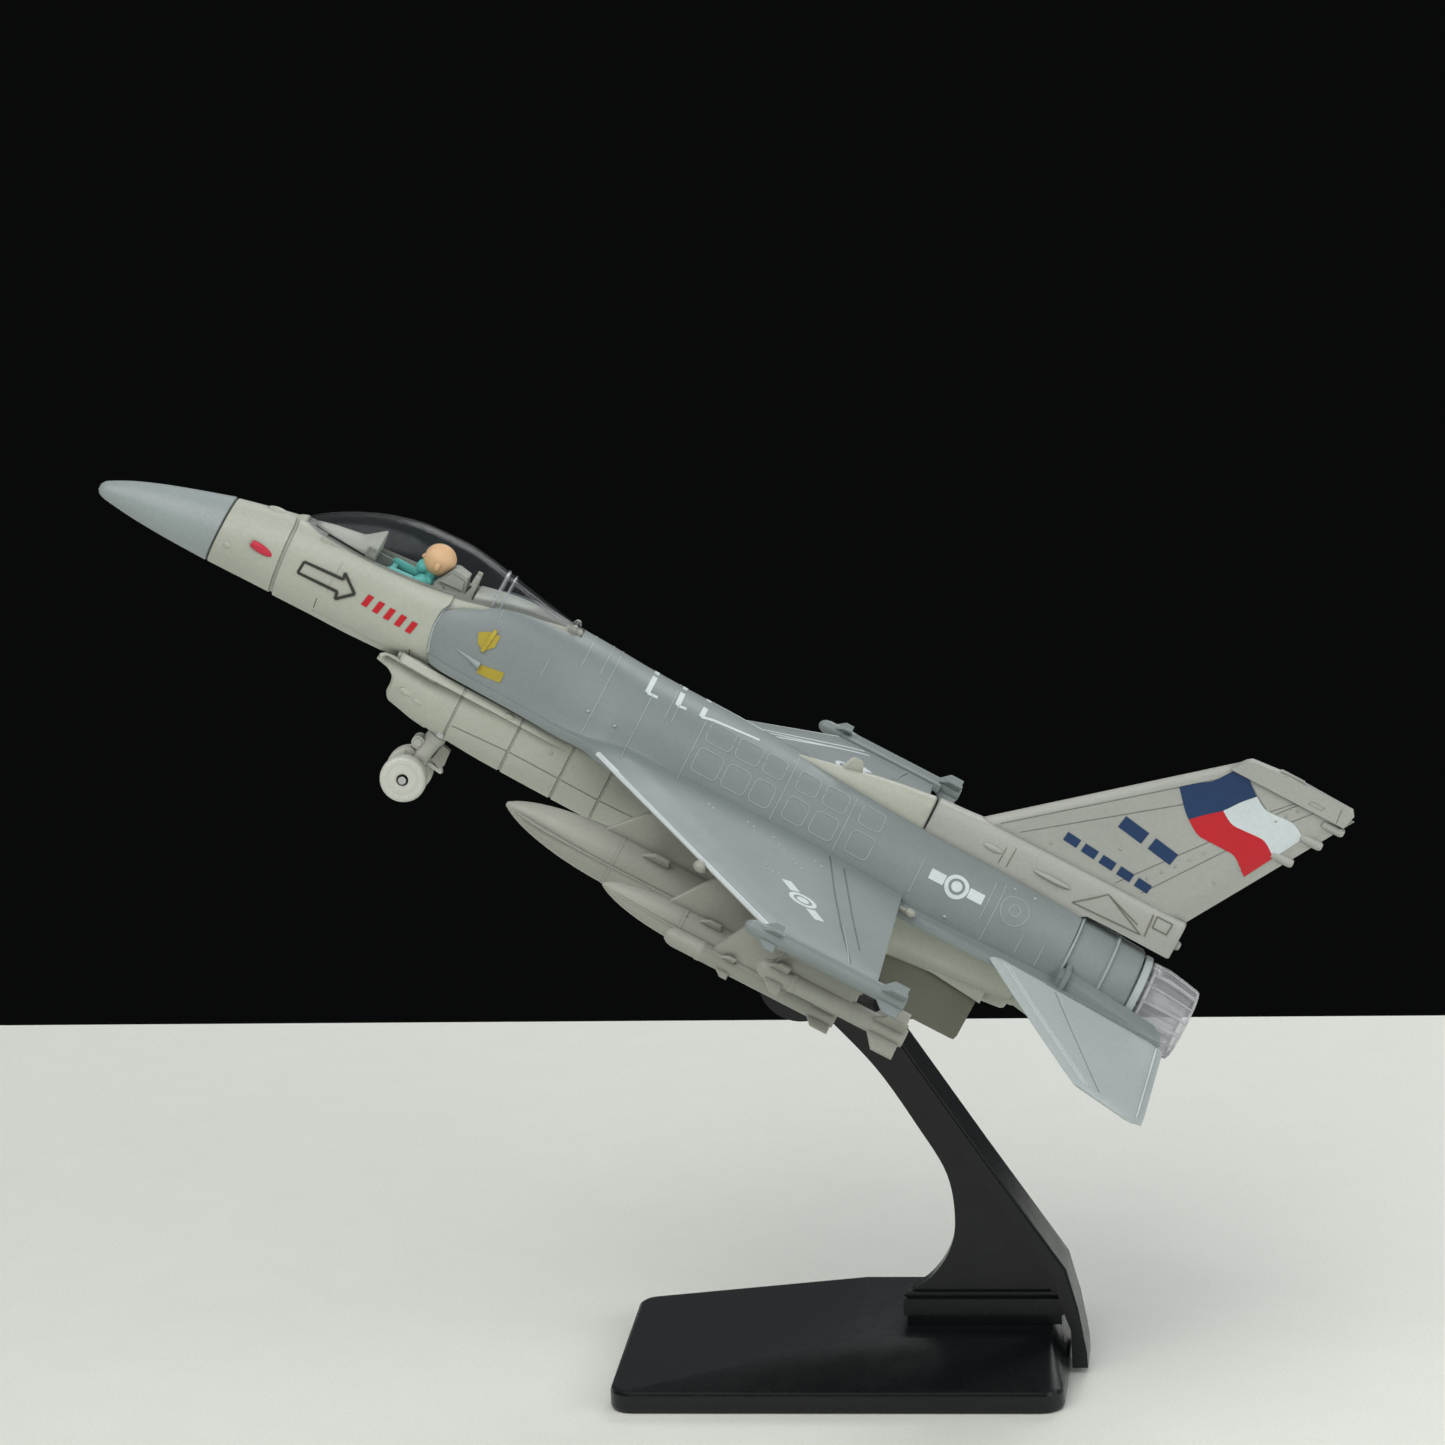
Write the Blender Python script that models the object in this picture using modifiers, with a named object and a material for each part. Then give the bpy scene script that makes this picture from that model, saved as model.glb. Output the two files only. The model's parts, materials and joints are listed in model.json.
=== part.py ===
"""Toy jet fighter on a tilting display stand, built as separate pieces that fit together.

All sizes below are in millimetres and become metres when a mesh is made.
Two frames are used:
  stand frame     X towards the tail, Y to starboard, Z up, origin under the base's centre
  airframe frame  x aft from the nose, y to starboard, z up from the wing plane
The airframe frame is an empty on the stand's pivot, pitched nose up.
"""

from math import copysign, cos, pi, radians, sin

import bmesh
import bpy
from mathutils import Matrix, Vector

MM = 0.001

# Driving dimensions of the stand
BASE_LENGTH, BASE_DEPTH = 77.6, 48.8
BASE_EDGE, BASE_CROWN = 4.1, 8.4
PIVOT_STAND = Vector((-5.3, 0.0, 70.8))
HEAD_RADIUS, HEAD_HALF_WIDTH = 7.2, 4.6
FOOT_FRONT_X, FOOT_REAR_X = 10.4, 38.0
FOOT_TONGUE_FRONT_X, FOOT_TONGUE_REAR_X, FOOT_TONGUE_HALF = 12.4, 36.0, 2.4
SLOT_FLOOR_Z = 4.2
STAND_PIN_RADIUS = 1.15
CLIMB_ANGLE = radians(29.0)

# The plug between the stand and the belly
PLUG_HALF_WIDTH = 1.9
PLUG_POST_HALF_LENGTH = 3.4
COLLAR_HALF_LENGTH, COLLAR_HALF_WIDTH = 5.0, 3.4
SOCKET_TOP_Z = -9.0

# Driving dimensions of the airframe
PIVOT = Vector((144.0, 0.0, -23.3))
SPLIT_Z = -2.4
HALF_SPAN = 62.3
WING_REAR_X = 152.0
BELLY_Z = -15.0
SKIN = 1.4
GAP = 0.35
PIN_PLAY = 0.15

# Shell screws: name, x, height of the step that the head pulls on, and top of the boss
SCREWS = (("front", 98.0, -12.9, 10.8), ("rear", 166.0, -11.0, 9.2))
SCREW_RADIUS = 0.95
TRAY_FLOOR_Z = -7.4

# Cockpit opening
COCKPIT_FRONT_X, COCKPIT_REAR_X, COCKPIT_HALF = 38.4, 66.2, 5.2

# Landing gear and canopy hinges
NOSE_HINGE = Vector((70.6, 0.0, -12.9))
NOSE_AXLE = Vector((68.3, 0.0, -23.9))
NOSE_WHEEL_RADIUS = 4.0
MAIN_HINGE = Vector((126.6, 5.6, -12.7))
MAIN_AXLE = Vector((114.8, 5.6, -12.7))
MAIN_WHEEL_RADIUS = 4.0
GEAR_PIN_RADIUS, NOSE_AXLE_RADIUS = 0.6, 0.7
CANOPY_HINGE = Vector((82.6, 0.0, 12.9))
CANOPY_PIN_RADIUS = 0.4

# Wing stores: distance from the centre line, and height of each one's axis
INNER_TANK_Y, INNER_TANK_Z = 26.0, -12.6
OUTER_TANK_Y, OUTER_TANK_Z = 42.0, -12.3
WING_MISSILE_Y, WING_MISSILE_Z = 51.0, -12.0
TIP_MISSILE_Y, TIP_MISSILE_Z = 59.0, -7.0
RAIL_Y = 65.4

# Upper shell's outline: x, half width at the split, crown height
SHELL = [
    (61.4, 8.4, 8.2),
    (68.0, 8.9, 10.3),
    (76.0, 9.4, 10.8),
    (84.0, 9.8, 10.9),
    (86.5, 9.9, 12.2),
    (98.0, 11.0, 11.6),
    (118.0, 12.2, 11.0),
    (135.0, 12.2, 10.6),
    (150.0, 11.4, 10.2),
    (165.0, 10.6, 9.9),
    (180.0, 9.3, 9.2),
]
# Lower shell's outline: x, half width at the split, belly height
BELLY = [
    (66.2, 9.3, BELLY_Z),
    (80.0, 9.9, BELLY_Z),
    (98.0, 11.4, BELLY_Z),
    (118.0, 12.4, BELLY_Z),
    (148.0, 12.0, BELLY_Z),
    (162.0, 10.8, -13.4),
    (176.5, 9.6, -11.8),
]
SHELL_POWER, BELLY_POWER = 2.6, 3.4

# Knobs on the fin's rear edge: x of each one's end, height
FIN_KNOBS = ((198.3, 11.5), (208.2, 33.4), (211.1, 38.3), (213.2, 42.1))

ROOT_NAME = "toy_jet"


# ---------------------------------------------------------------- scene and materials
def clear_scene():
    for old in list(bpy.data.objects):
        bpy.data.objects.remove(old, do_unlink=True)


def make_collection(name):
    collection = bpy.data.collections.new(name)
    bpy.context.scene.collection.children.link(collection)
    return collection


def make_material(name, colour, roughness, metallic=0.0, alpha=1.0):
    material = bpy.data.materials.new(name)
    material.use_nodes = True
    shader = material.node_tree.nodes["Principled BSDF"]
    shader.inputs["Base Color"].default_value = (*colour, 1.0)
    shader.inputs["Roughness"].default_value = roughness
    shader.inputs["Metallic"].default_value = metallic
    shader.inputs["Alpha"].default_value = alpha
    return material


clear_scene()
MODEL = make_collection(ROOT_NAME)
TOOLS = make_collection("cutters")

GREY = make_material("painted_grey", (0.24, 0.28, 0.29), 0.42, 0.1)
KHAKI = make_material("khaki_plastic", (0.44, 0.46, 0.40), 0.5)
BLACK = make_material("black_plastic", (0.012, 0.014, 0.015), 0.38)
CLEAR = make_material("smoky_clear", (0.55, 0.56, 0.62), 0.06, alpha=0.35)
CLEAR_SILVER = make_material("clear_silver", (0.75, 0.75, 0.78), 0.15, 0.3, 0.6)
TEAL = make_material("teal_plastic", (0.12, 0.60, 0.54), 0.45)
PEACH = make_material("peach_plastic", (0.80, 0.46, 0.24), 0.5)
STEEL = make_material("plated_steel", (0.55, 0.55, 0.56), 0.3, 1.0)


def add_frame():
    frame = bpy.data.objects.new("airframe", None)
    frame.location = PIVOT_STAND * MM
    frame.rotation_euler = (0.0, CLIMB_ANGLE, 0.0)
    MODEL.objects.link(frame)
    return frame


AIRFRAME = add_frame()


# ---------------------------------------------------------------- building blocks
def add_object(name, mesh_data, material, origin, on_stand, collection):
    """Puts a mesh made in millimetres on its origin, in the stand's or the airframe's frame."""
    bmesh.ops.transform(mesh_data, matrix=Matrix.Translation(-origin), verts=mesh_data.verts)
    bmesh.ops.scale(mesh_data, vec=(MM, MM, MM), verts=mesh_data.verts)
    bmesh.ops.recalc_face_normals(mesh_data, faces=mesh_data.faces)
    mesh = bpy.data.meshes.new(name)
    mesh_data.to_mesh(mesh)
    mesh_data.free()
    mesh.shade_smooth()
    mesh.set_sharp_from_angle(angle=radians(35))
    piece = bpy.data.objects.new(name, mesh)
    if material:
        mesh.materials.append(material)
    collection.objects.link(piece)
    if on_stand:
        piece.location = origin * MM
    else:
        piece.parent = AIRFRAME
        piece.location = (origin - PIVOT) * MM
    return piece


def part(name, mesh_data, material, origin=None, on_stand=False):
    return add_object(name, mesh_data, material, origin or Vector(), on_stand, MODEL)


def tool(mesh_data, on_stand=False):
    piece = add_object("tool", mesh_data, None, Vector(), on_stand, TOOLS)
    piece.hide_render = True
    piece.display_type = "WIRE"
    return piece


def combine(target, other, operation):
    step = target.modifiers.new(operation.lower(), "BOOLEAN")
    step.operation = operation
    step.solver = "EXACT"
    step.object = other


def cut(target, *tools):
    for other in tools:
        combine(target, other, "DIFFERENCE")


def join(target, *tools):
    for other in tools:
        combine(target, other, "UNION")


def box(low, high):
    shape = bmesh.new()
    bmesh.ops.create_cube(shape, size=1.0)
    size = Vector(high) - Vector(low)
    middle = (Vector(high) + Vector(low)) / 2
    bmesh.ops.scale(shape, vec=size, verts=shape.verts)
    bmesh.ops.translate(shape, vec=middle, verts=shape.verts)
    return shape


def rod(middle, axis, radius, length, sides=20, end_radius=None):
    """A cylinder, or a cone when end_radius is given, along any axis."""
    shape = bmesh.new()
    turn = Vector((0, 0, 1)).rotation_difference(Vector(axis)).to_matrix().to_4x4()
    bmesh.ops.create_cone(
        shape,
        cap_ends=True,
        segments=sides,
        radius1=radius,
        radius2=radius if end_radius is None else end_radius,
        depth=length,
        matrix=Matrix.Translation(Vector(middle)) @ turn,
    )
    return shape


def ball(middle, radii, segments=16, rings=10):
    shape = bmesh.new()
    bmesh.ops.create_uvsphere(shape, u_segments=segments, v_segments=rings, radius=1.0)
    bmesh.ops.scale(shape, vec=radii, verts=shape.verts)
    bmesh.ops.translate(shape, vec=middle, verts=shape.verts)
    return shape


def loft(rings):
    """Skins a row of closed rings that all have the same number of points, and caps both ends."""
    shape = bmesh.new()
    loops = [[shape.verts.new(point) for point in ring] for ring in rings]
    count = len(loops[0])
    for near, far in zip(loops, loops[1:]):
        for i in range(count):
            j = (i + 1) % count
            shape.faces.new((near[i], near[j], far[j], far[i]))
    shape.faces.new(loops[0])
    shape.faces.new(loops[-1])
    return shape


def rounded_ring(x, half_width, top, bottom, power, count=16):
    """A ring across the body: a superellipse, round at power 2 and boxier above it."""
    middle, half_height = (top + bottom) / 2, (top - bottom) / 2
    points = []
    for i in range(count):
        angle = 2 * pi * (i + 0.5) / count
        across = copysign(abs(cos(angle)) ** (2 / power), cos(angle))
        up = copysign(abs(sin(angle)) ** (2 / power), sin(angle))
        points.append(Vector((x, half_width * across, middle + half_height * up)))
    return points


def half_ring(x, half_width, crown, edge, power, count=11):
    """Half of a superellipse standing on a flat edge; the crown may be above or below it."""
    points = []
    for i in range(count):
        angle = pi * i / (count - 1)
        across = copysign(abs(cos(angle)) ** (2 / power), cos(angle))
        points.append(Vector((x, half_width * across, edge + (crown - edge) * sin(angle) ** (2 / power))))
    return points


def dome(grow=0.0, edge=SPLIT_Z, start=0.0, end=0.0):
    """The upper shell's body, grown or shrunk by a skin thickness."""
    rings = [half_ring(x, w + grow, top + grow, edge, SHELL_POWER) for x, w, top in SHELL]
    for point in rings[0]:
        point.x -= start
    for point in rings[-1]:
        point.x += end
    return loft(rings)


def trough(grow=0.0, edge=SPLIT_Z - 0.5, start=0.0, end=0.0):
    """The lower shell's body, grown or shrunk by a skin thickness."""
    rings = [half_ring(x, w + grow, low - grow, edge, BELLY_POWER) for x, w, low in BELLY]
    for point in rings[0]:
        point.x -= start
    for point in rings[-1]:
        point.x += end
    return loft(rings)


def prism(outline, low, high):
    """A flat outline of (x, y) points, filled between two heights."""
    return loft([[Vector((x, y, low)) for x, y in outline], [Vector((x, y, high)) for x, y in outline]])


def side_plate(outline, near, far):
    """A side view outline of (x, z) points, filled between two distances across."""
    return loft([[Vector((x, near, z)) for x, z in outline], [Vector((x, far, z)) for x, z in outline]])


def blade_ring(front, rear, thickness, place):
    """A wing section: sharp ends, thickest over its middle; place puts (along, up) in space."""
    chord = rear - front
    half = thickness / 2
    marks = [(0.0, 0.12), (0.3, 1.0), (0.7, 0.9), (1.0, 0.2)]
    upper = [place(front + chord * at, half * fill) for at, fill in marks]
    lower = [place(front + chord * at, -half * fill) for at, fill in reversed(marks)]
    return upper + lower


def wing_blade(side, stations):
    """A wing or tailplane from stations of (y, front x, rear x, z, thickness)."""
    rings = []
    for y, front, rear, z, thickness in stations:
        rings.append(blade_ring(front, rear, thickness, lambda along, up: Vector((along, side * y, z + up))))
    return loft(rings)


def turned(name, profile, material, middle, axis, steps=14, closed=False):
    """A solid of revolution: the profile's (radius, height) points run from the top to the bottom."""
    shape = bmesh.new()
    points = [shape.verts.new((radius, 0.0, height)) for radius, height in profile]
    for first, second in zip(points, points[1:]):
        shape.edges.new((first, second))
    if closed:
        shape.edges.new((points[-1], points[0]))
    piece = part(name, shape, material)
    piece.rotation_mode = "QUATERNION"
    piece.rotation_quaternion = Vector((0, 0, 1)).rotation_difference(Vector(axis))
    piece.location = (Vector(middle) - PIVOT) * MM
    spin = piece.modifiers.new("turn", "SCREW")
    spin.angle = 2 * pi
    spin.steps = spin.render_steps = steps
    spin.use_merge_vertices = True
    spin.merge_threshold = 0.00001
    spin.use_smooth_shade = True
    return piece


def sides():
    """Port is -1 and starboard is +1."""
    return (("port", -1), ("starboard", 1))


# ---------------------------------------------------------------- stand
def base_rim(height, inset, corner=4.0):
    """A rounded rectangle of points at one height."""
    points = []
    for x_sign, y_sign, first in ((1, 1, 0), (-1, 1, 90), (-1, -1, 180), (1, -1, 270)):
        centre_x = x_sign * (BASE_LENGTH / 2 - corner)
        centre_y = y_sign * (BASE_DEPTH / 2 - corner)
        for step in range(4):
            angle = radians(first + 30 * step)
            reach = corner - inset
            points.append(Vector((centre_x + reach * cos(angle), centre_y + reach * sin(angle), height)))
    return points


def build_base():
    """A wedge-topped block: low rim, raised flat under the arm, and a slot for the arm's tongue."""
    shape = bmesh.new()
    points = base_rim(0.0, 0.8) + base_rim(0.8, 0.0)
    points += base_rim(BASE_EDGE - 0.8, 0.0) + base_rim(BASE_EDGE, 0.8)
    crown = [(2.0, -9.5), (36.0, -9.5), (36.8, 21.5), (2.0, 21.5)]
    points += [Vector((x, y, BASE_CROWN)) for x, y in crown]
    verts = [shape.verts.new(point) for point in points]
    bmesh.ops.convex_hull(shape, input=verts)
    base = part("base_plate", shape, BLACK, on_stand=True)
    slot_low = (FOOT_TONGUE_FRONT_X - GAP, -FOOT_TONGUE_HALF - GAP, SLOT_FLOOR_Z)
    slot_high = (FOOT_TONGUE_REAR_X + GAP, FOOT_TONGUE_HALF + GAP, BASE_CROWN + 5)
    cut(base, tool(box(slot_low, slot_high), on_stand=True))


def build_arm():
    """A swept arm: thin web, wide rear flange, foot in the base, and a forked round head."""
    web = [
        (10.4, 13.2), (15.7, 16.8), (18.6, 21.2), (19.6, 27.0), (18.6, 34.0), (16.0, 40.0),
        (12.0, 46.6), (6.8, 54.2), (-1.4, 63.6), (-6.0, 65.2), (0.5, 67.5), (6.4, 66.0),
        (24.0, 39.0), (37.5, 18.0), (38.0, 10.8), (10.4, 10.8),
    ]
    flange = [
        (42.0, 1.2), (41.9, 4.0), (40.6, 11.8), (38.7, 19.1), (25.0, 39.6), (11.9, 59.6), (7.0, 66.3),
        (1.0, 68.0), (-1.5, 65.0), (9.0, 59.0), (22.6, 38.2), (36.2, 17.8), (38.0, 11.4),
        (39.2, 8.0), (39.3, 1.2),
    ]
    arm = part("stand_arm", side_plate(web, -1.6, 1.6), BLACK, on_stand=True)
    join(arm, tool(side_plate(flange, -5.0, 5.0), on_stand=True))
    join(arm, tool(rod(PIVOT_STAND, (0, 1, 0), HEAD_RADIUS, 2 * HEAD_HALF_WIDTH, sides=32), on_stand=True))
    join(arm, tool(box((FOOT_FRONT_X, -3.6, 10.3), (FOOT_REAR_X, 3.6, 13.2)), on_stand=True))
    tongue_low = (FOOT_TONGUE_FRONT_X, -FOOT_TONGUE_HALF, SLOT_FLOOR_Z + 0.4)
    join(arm, tool(box(tongue_low, (FOOT_TONGUE_REAR_X, FOOT_TONGUE_HALF, 11.5)), on_stand=True))
    slot_half = PLUG_HALF_WIDTH + 0.3
    cut(arm, tool(rod(PIVOT_STAND, (0, 1, 0), 5.0, 2 * slot_half, sides=32), on_stand=True))
    slot_low = PIVOT_STAND + Vector((-9, -slot_half, -0.2))
    cut(arm, tool(box(slot_low, PIVOT_STAND + Vector((9, slot_half, 9))), on_stand=True))
    pin_hole = rod(PIVOT_STAND, (0, 1, 0), STAND_PIN_RADIUS + PIN_PLAY, 2 * HEAD_HALF_WIDTH + 2)
    cut(arm, tool(pin_hole, on_stand=True))


def build_stand_pin():
    pin = rod(PIVOT_STAND, (0, 1, 0), STAND_PIN_RADIUS, 2 * HEAD_HALF_WIDTH - 0.4)
    part("stand_pivot_pin", pin, STEEL, PIVOT_STAND, True)


def build_plug():
    """The tongue that turns in the arm's fork, with a collar under the belly and a post in its socket."""
    plug = part("stand_plug", rod(PIVOT, (0, 1, 0), 4.2, 2 * PLUG_HALF_WIDTH, sides=28), BLACK, PIVOT)
    post_low = (PIVOT.x - PLUG_POST_HALF_LENGTH, -PLUG_HALF_WIDTH, PIVOT.z)
    post_high = (PIVOT.x + PLUG_POST_HALF_LENGTH, PLUG_HALF_WIDTH, SOCKET_TOP_Z - GAP)
    join(plug, tool(box(post_low, post_high)))
    collar_low = (PIVOT.x - COLLAR_HALF_LENGTH, -COLLAR_HALF_WIDTH, BELLY_Z - 0.95)
    collar_high = (PIVOT.x + COLLAR_HALF_LENGTH, COLLAR_HALF_WIDTH, BELLY_Z - GAP)
    join(plug, tool(box(collar_low, collar_high)))
    cut(plug, tool(rod(PIVOT, (0, 1, 0), STAND_PIN_RADIUS + PIN_PLAY, 10)))


# ---------------------------------------------------------------- fuselage
def build_radome():
    """A drooping pointed cone with a locating spigot behind it."""
    outline = [(0.0, 0.25, -3.45, -3.95), (1.0, 1.5, -2.1, -5.1)]
    outline += [(4.1, 2.5, -0.6, -5.6), (8.9, 3.8, 1.4, -6.1)]
    outline += [(15.5, 5.0, 3.6, -6.35), (21.5, 5.9, 5.5, -6.4)]
    rings = [rounded_ring(x, w, top, low, 2.0) for x, w, top, low in outline]
    radome = part("radome", loft(rings), GREY)
    join(radome, tool(rod((22.6, 0, -0.5), (1, 0, 0), 2.4, 4.0)))


def build_nose_fuselage():
    """The forward body: round at the radome, boxier at the cockpit, with a low tail over the intake."""
    outline = [
        (21.85, 5.95, 5.45, -6.4, 2.0), (33.0, 6.7, 7.7, -6.3, 2.15), (46.0, 7.5, 7.9, -6.3, 2.4),
        (55.0, 8.0, 8.9, -6.0, 2.5), (61.0, 8.4, 9.9, -5.6, 2.6),
    ]
    body = part("nose_fuselage", loft([rounded_ring(*row) for row in outline]), KHAKI)
    tail = [(58.6, 8.0, -3.0, -5.6), (65.8, 9.1, -3.0, -5.6)]
    join(body, tool(loft([rounded_ring(x, w, top, low, 5.0) for x, w, top, low in tail])))
    opening_low = (COCKPIT_FRONT_X, -COCKPIT_HALF, 0.4)
    cut(body, tool(box(opening_low, (COCKPIT_REAR_X, COCKPIT_HALF, 20))))
    cut(body, tool(rod((22.5, 0, -0.5), (1, 0, 0), 2.4 + GAP, 5.2)))


def build_upper_shell():
    """The grey shell in one casting: body, strakes, both wings, rear shelves and the round tail barrel."""
    shell = part("upper_shell", dome(), GREY)
    strake = [(63.0, 8.4), (72.0, 10.6), (82.0, 11.8), (90.0, 13.8), (95.5, 17.0), (150.0, 17.0)]
    strake += [(152.0, 15.2), (180.0, 14.8), (201.0, 13.6), (201.0, 9.3), (193.4, 9.3)]
    outline = strake + [(x, -y) for x, y in reversed(strake)]
    join(shell, tool(prism(outline, SPLIT_Z, SPLIT_Z + 1.6)))
    for _, side in sides():
        stations = [(9.0, 86.5, WING_REAR_X, 0.0, 2.9), (19.3, 95.5, WING_REAR_X, 0.0, 2.7)]
        stations += [(HALF_SPAN, 133.1, WING_REAR_X, 0.0, 1.3)]
        join(shell, tool(wing_blade(side, stations)))
        shelf = [
            [Vector((x, side * y, z)) for y, z in ((8.6, -2.0), (13.2, -2.0), (12.6, top), (8.6, top))]
            for x, top in ((181.0, 2.0), (200.6, -0.9))
        ]
        join(shell, tool(loft(shelf)))
    barrel = [(177.2, 9.1, 8.9, -9.3), (188.0, 8.6, 8.3, -8.9), (193.8, 8.2, 7.9, -8.5)]
    join(shell, tool(loft([rounded_ring(x, w, top, low, 2.0, 28) for x, w, top, low in barrel])))
    cut(shell, tool(dome(-SKIN, SPLIT_Z - 1.5, start=3.0, end=-3.6)))
    cut(shell, tool(rod((192.0, 0, -0.3), (1, 0, 0), 7.2, 26.0, sides=28)))
    cut(shell, tool(box((55, -5.6, 4.0), (COCKPIT_REAR_X + GAP, 5.6, 20))))
    for _, x, _, boss_top in SCREWS:
        join(shell, tool(box((x - 2.3, -2.3, -1.4), (x + 2.3, 2.3, boss_top))))
        cut(shell, tool(rod((x, 0, 1.0), (0, 0, 1), SCREW_RADIUS + PIN_PLAY, 10.0, sides=14)))


def build_lower_shell():
    """The khaki belly: a deep floor with a tray above it, gear bays, the stand's socket and screw holes."""
    shell = part("lower_shell", trough(), KHAKI)
    tray = [half_ring(x, w - SKIN, TRAY_FLOOR_Z, 0.0, 6.0) for x, w, _ in BELLY]
    for point in tray[0]:
        point.x += 2.0
    for point in tray[-1]:
        point.x -= 2.0
    cut(shell, tool(loft(tray)))
    cut(shell, tool(box((67.6, -6.3, -20), (87.2, 6.3, -8.4))))
    cut(shell, tool(rod(NOSE_HINGE, (0, 1, 0), GEAR_PIN_RADIUS + PIN_PLAY, 15.4)))
    for _, side in sides():
        near, far = side * 3.9, side * 10.5
        cut(shell, tool(box((109.6, min(near, far), -20), (128.6, max(near, far), -8.4))))
        middle = Vector((MAIN_HINGE.x, side * 6.0, MAIN_HINGE.z))
        cut(shell, tool(rod(middle, (0, 1, 0), GEAR_PIN_RADIUS + PIN_PLAY, 10.4)))
    post_half = PLUG_POST_HALF_LENGTH + GAP
    socket_low = (PIVOT.x - post_half, -PLUG_HALF_WIDTH - GAP, -20)
    cut(shell, tool(box(socket_low, (PIVOT.x + post_half, PLUG_HALF_WIDTH + GAP, SOCKET_TOP_Z))))
    for _, x, step, _ in SCREWS:
        cut(shell, tool(rod((x, 0, -10), (0, 0, 1), SCREW_RADIUS + GAP, 20, sides=14)))
        cut(shell, tool(rod((x, 0, step - 5), (0, 0, 1), 2.3, 10.0, sides=18)))


def build_screws():
    """Round-head screws that pull the two shells together."""
    for name, x, step, _ in SCREWS:
        top, under = 4.0, step - GAP
        head_height = 1.1
        shaft = rod((x, 0, (top + under - 0.5) / 2), (0, 0, 1), SCREW_RADIUS, top - under + 0.5, sides=14)
        screw = part("shell_screw_" + name, shaft, STEEL)
        head = rod((x, 0, under - head_height / 2), (0, 0, 1), 1.4, head_height, sides=16, end_radius=1.9)
        join(screw, tool(head))
        for across, along in ((1.0, 0.2), (0.2, 1.0)):
            low = (x - across, -along, under - head_height - 1)
            cut(screw, tool(box(low, (x + across, along, under - head_height / 2))))


def build_intake():
    """The air intake under the nose, an open duct, with a splitter plate above it."""
    outer = [(57.6, 8.6, -7.2, -13.3, 2.6), (61.6, 9.0, -7.1, -14.4, 2.8), (65.85, 9.3, -7.0, BELLY_Z, 3.2)]
    inner = [(56.0, 7.4, -8.3, -12.1, 2.4), (61.0, 7.9, -8.2, -13.1, 2.4), (64.6, 8.1, -8.0, -13.4, 2.4)]
    duct = part("intake_duct", loft([rounded_ring(*row) for row in outer]), KHAKI)
    cut(duct, tool(loft([rounded_ring(*row) for row in inner])))
    splitter = [(55.2, -5.4), (57.5, -7.2), (65.8, -7.6), (65.8, 7.6), (57.5, 7.2), (55.2, 5.4)]
    part("intake_splitter", prism(splitter, -6.7, -6.2), KHAKI)


def build_rear_deck():
    """The sill behind the cockpit that the canopy closes on, with the canopy hinge's two ears."""
    outline = [(61.3, 6.9, 10.6), (68.0, 6.6, 12.2), (76.0, 4.8, 12.2), (80.0, 3.6, 11.7), (84.2, 2.6, 11.6)]
    deck = part("rear_deck", loft([half_ring(x, w, top, 4.0, 3.2) for x, w, top in outline]), KHAKI)
    cut(deck, tool(dome(GAP, SPLIT_Z - 1, start=3.0)))
    cut(deck, tool(box((55, -COCKPIT_HALF, 3.0), (COCKPIT_REAR_X + GAP, COCKPIT_HALF, 20))))
    for _, side in sides():
        near, far = sorted((side * 1.7, side * 2.5))
        join(deck, tool(box((CANOPY_HINGE.x - 0.9, near, 11.0), (CANOPY_HINGE.x + 0.9, far, 13.6))))
    cut(deck, tool(rod(CANOPY_HINGE, (0, 1, 0), CANOPY_PIN_RADIUS + PIN_PLAY, 7.0, sides=16)))


def build_spine_and_fin():
    """The spine fairing with its blade aerial, and the fin on its long base."""
    spine_rows = [(126.0, 0.8, 10.9), (134.0, 2.1, 12.6), (142.0, 2.8, 14.2), (150.2, 3.2, 15.2)]
    spine = part("spine_fairing", loft([half_ring(x, w, top, 5.0, 2.8) for x, w, top in spine_rows]), KHAKI)
    aerial = [(133.2, 11.5), (134.4, 14.9), (136.0, 14.9), (137.6, 12.0)]
    join(spine, tool(side_plate(aerial, -0.5, 0.5)))
    cut(spine, tool(dome(GAP, SPLIT_Z - 1)))

    base_rows = [(150.6, 3.2, 15.3, 7.0), (160.0, 3.2, 16.2, 7.0), (178.0, 2.9, 16.3, 7.0)]
    base_rows += [(182.0, 2.8, 16.3, 9.6), (197.4, 2.0, 15.9, 9.2)]
    fin = part("tail_fin", loft([half_ring(x, w, top, low, 3.4) for x, w, top, low in base_rows]), KHAKI)
    sections = [(14.5, 156.8, 196.4, 1.9), (44.6, 191.8, 211.8, 1.1)]
    rings = [
        blade_ring(front, rear, thick, lambda along, up: Vector((along, up, z)))
        for z, front, rear, thick in sections
    ]
    join(fin, tool(loft(rings)))
    cap = [(191.6, 43.6), (193.8, 46.2), (212.9, 46.4), (213.3, 45.9), (212.2, 43.6)]
    join(fin, tool(side_plate(cap, -1.1, 1.1)))
    for x, z in FIN_KNOBS:
        join(fin, tool(rod((x - 2.0, 0, z), (1, 0, 0), 0.8, 4.0, sides=12)))
    cut(fin, tool(dome(GAP, SPLIT_Z - 1, end=1.5)))


def build_tailplanes():
    for name, side in sides():
        stations = [(15.2, 169.6, 202.7, -1.2, 1.5), (37.2, 189.6, 202.7, -7.2, 0.9)]
        stations.append((38.8, 194.4, 201.6, -7.7, 0.8))
        part("tailplane_" + name, wing_blade(side, stations), GREY)


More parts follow.
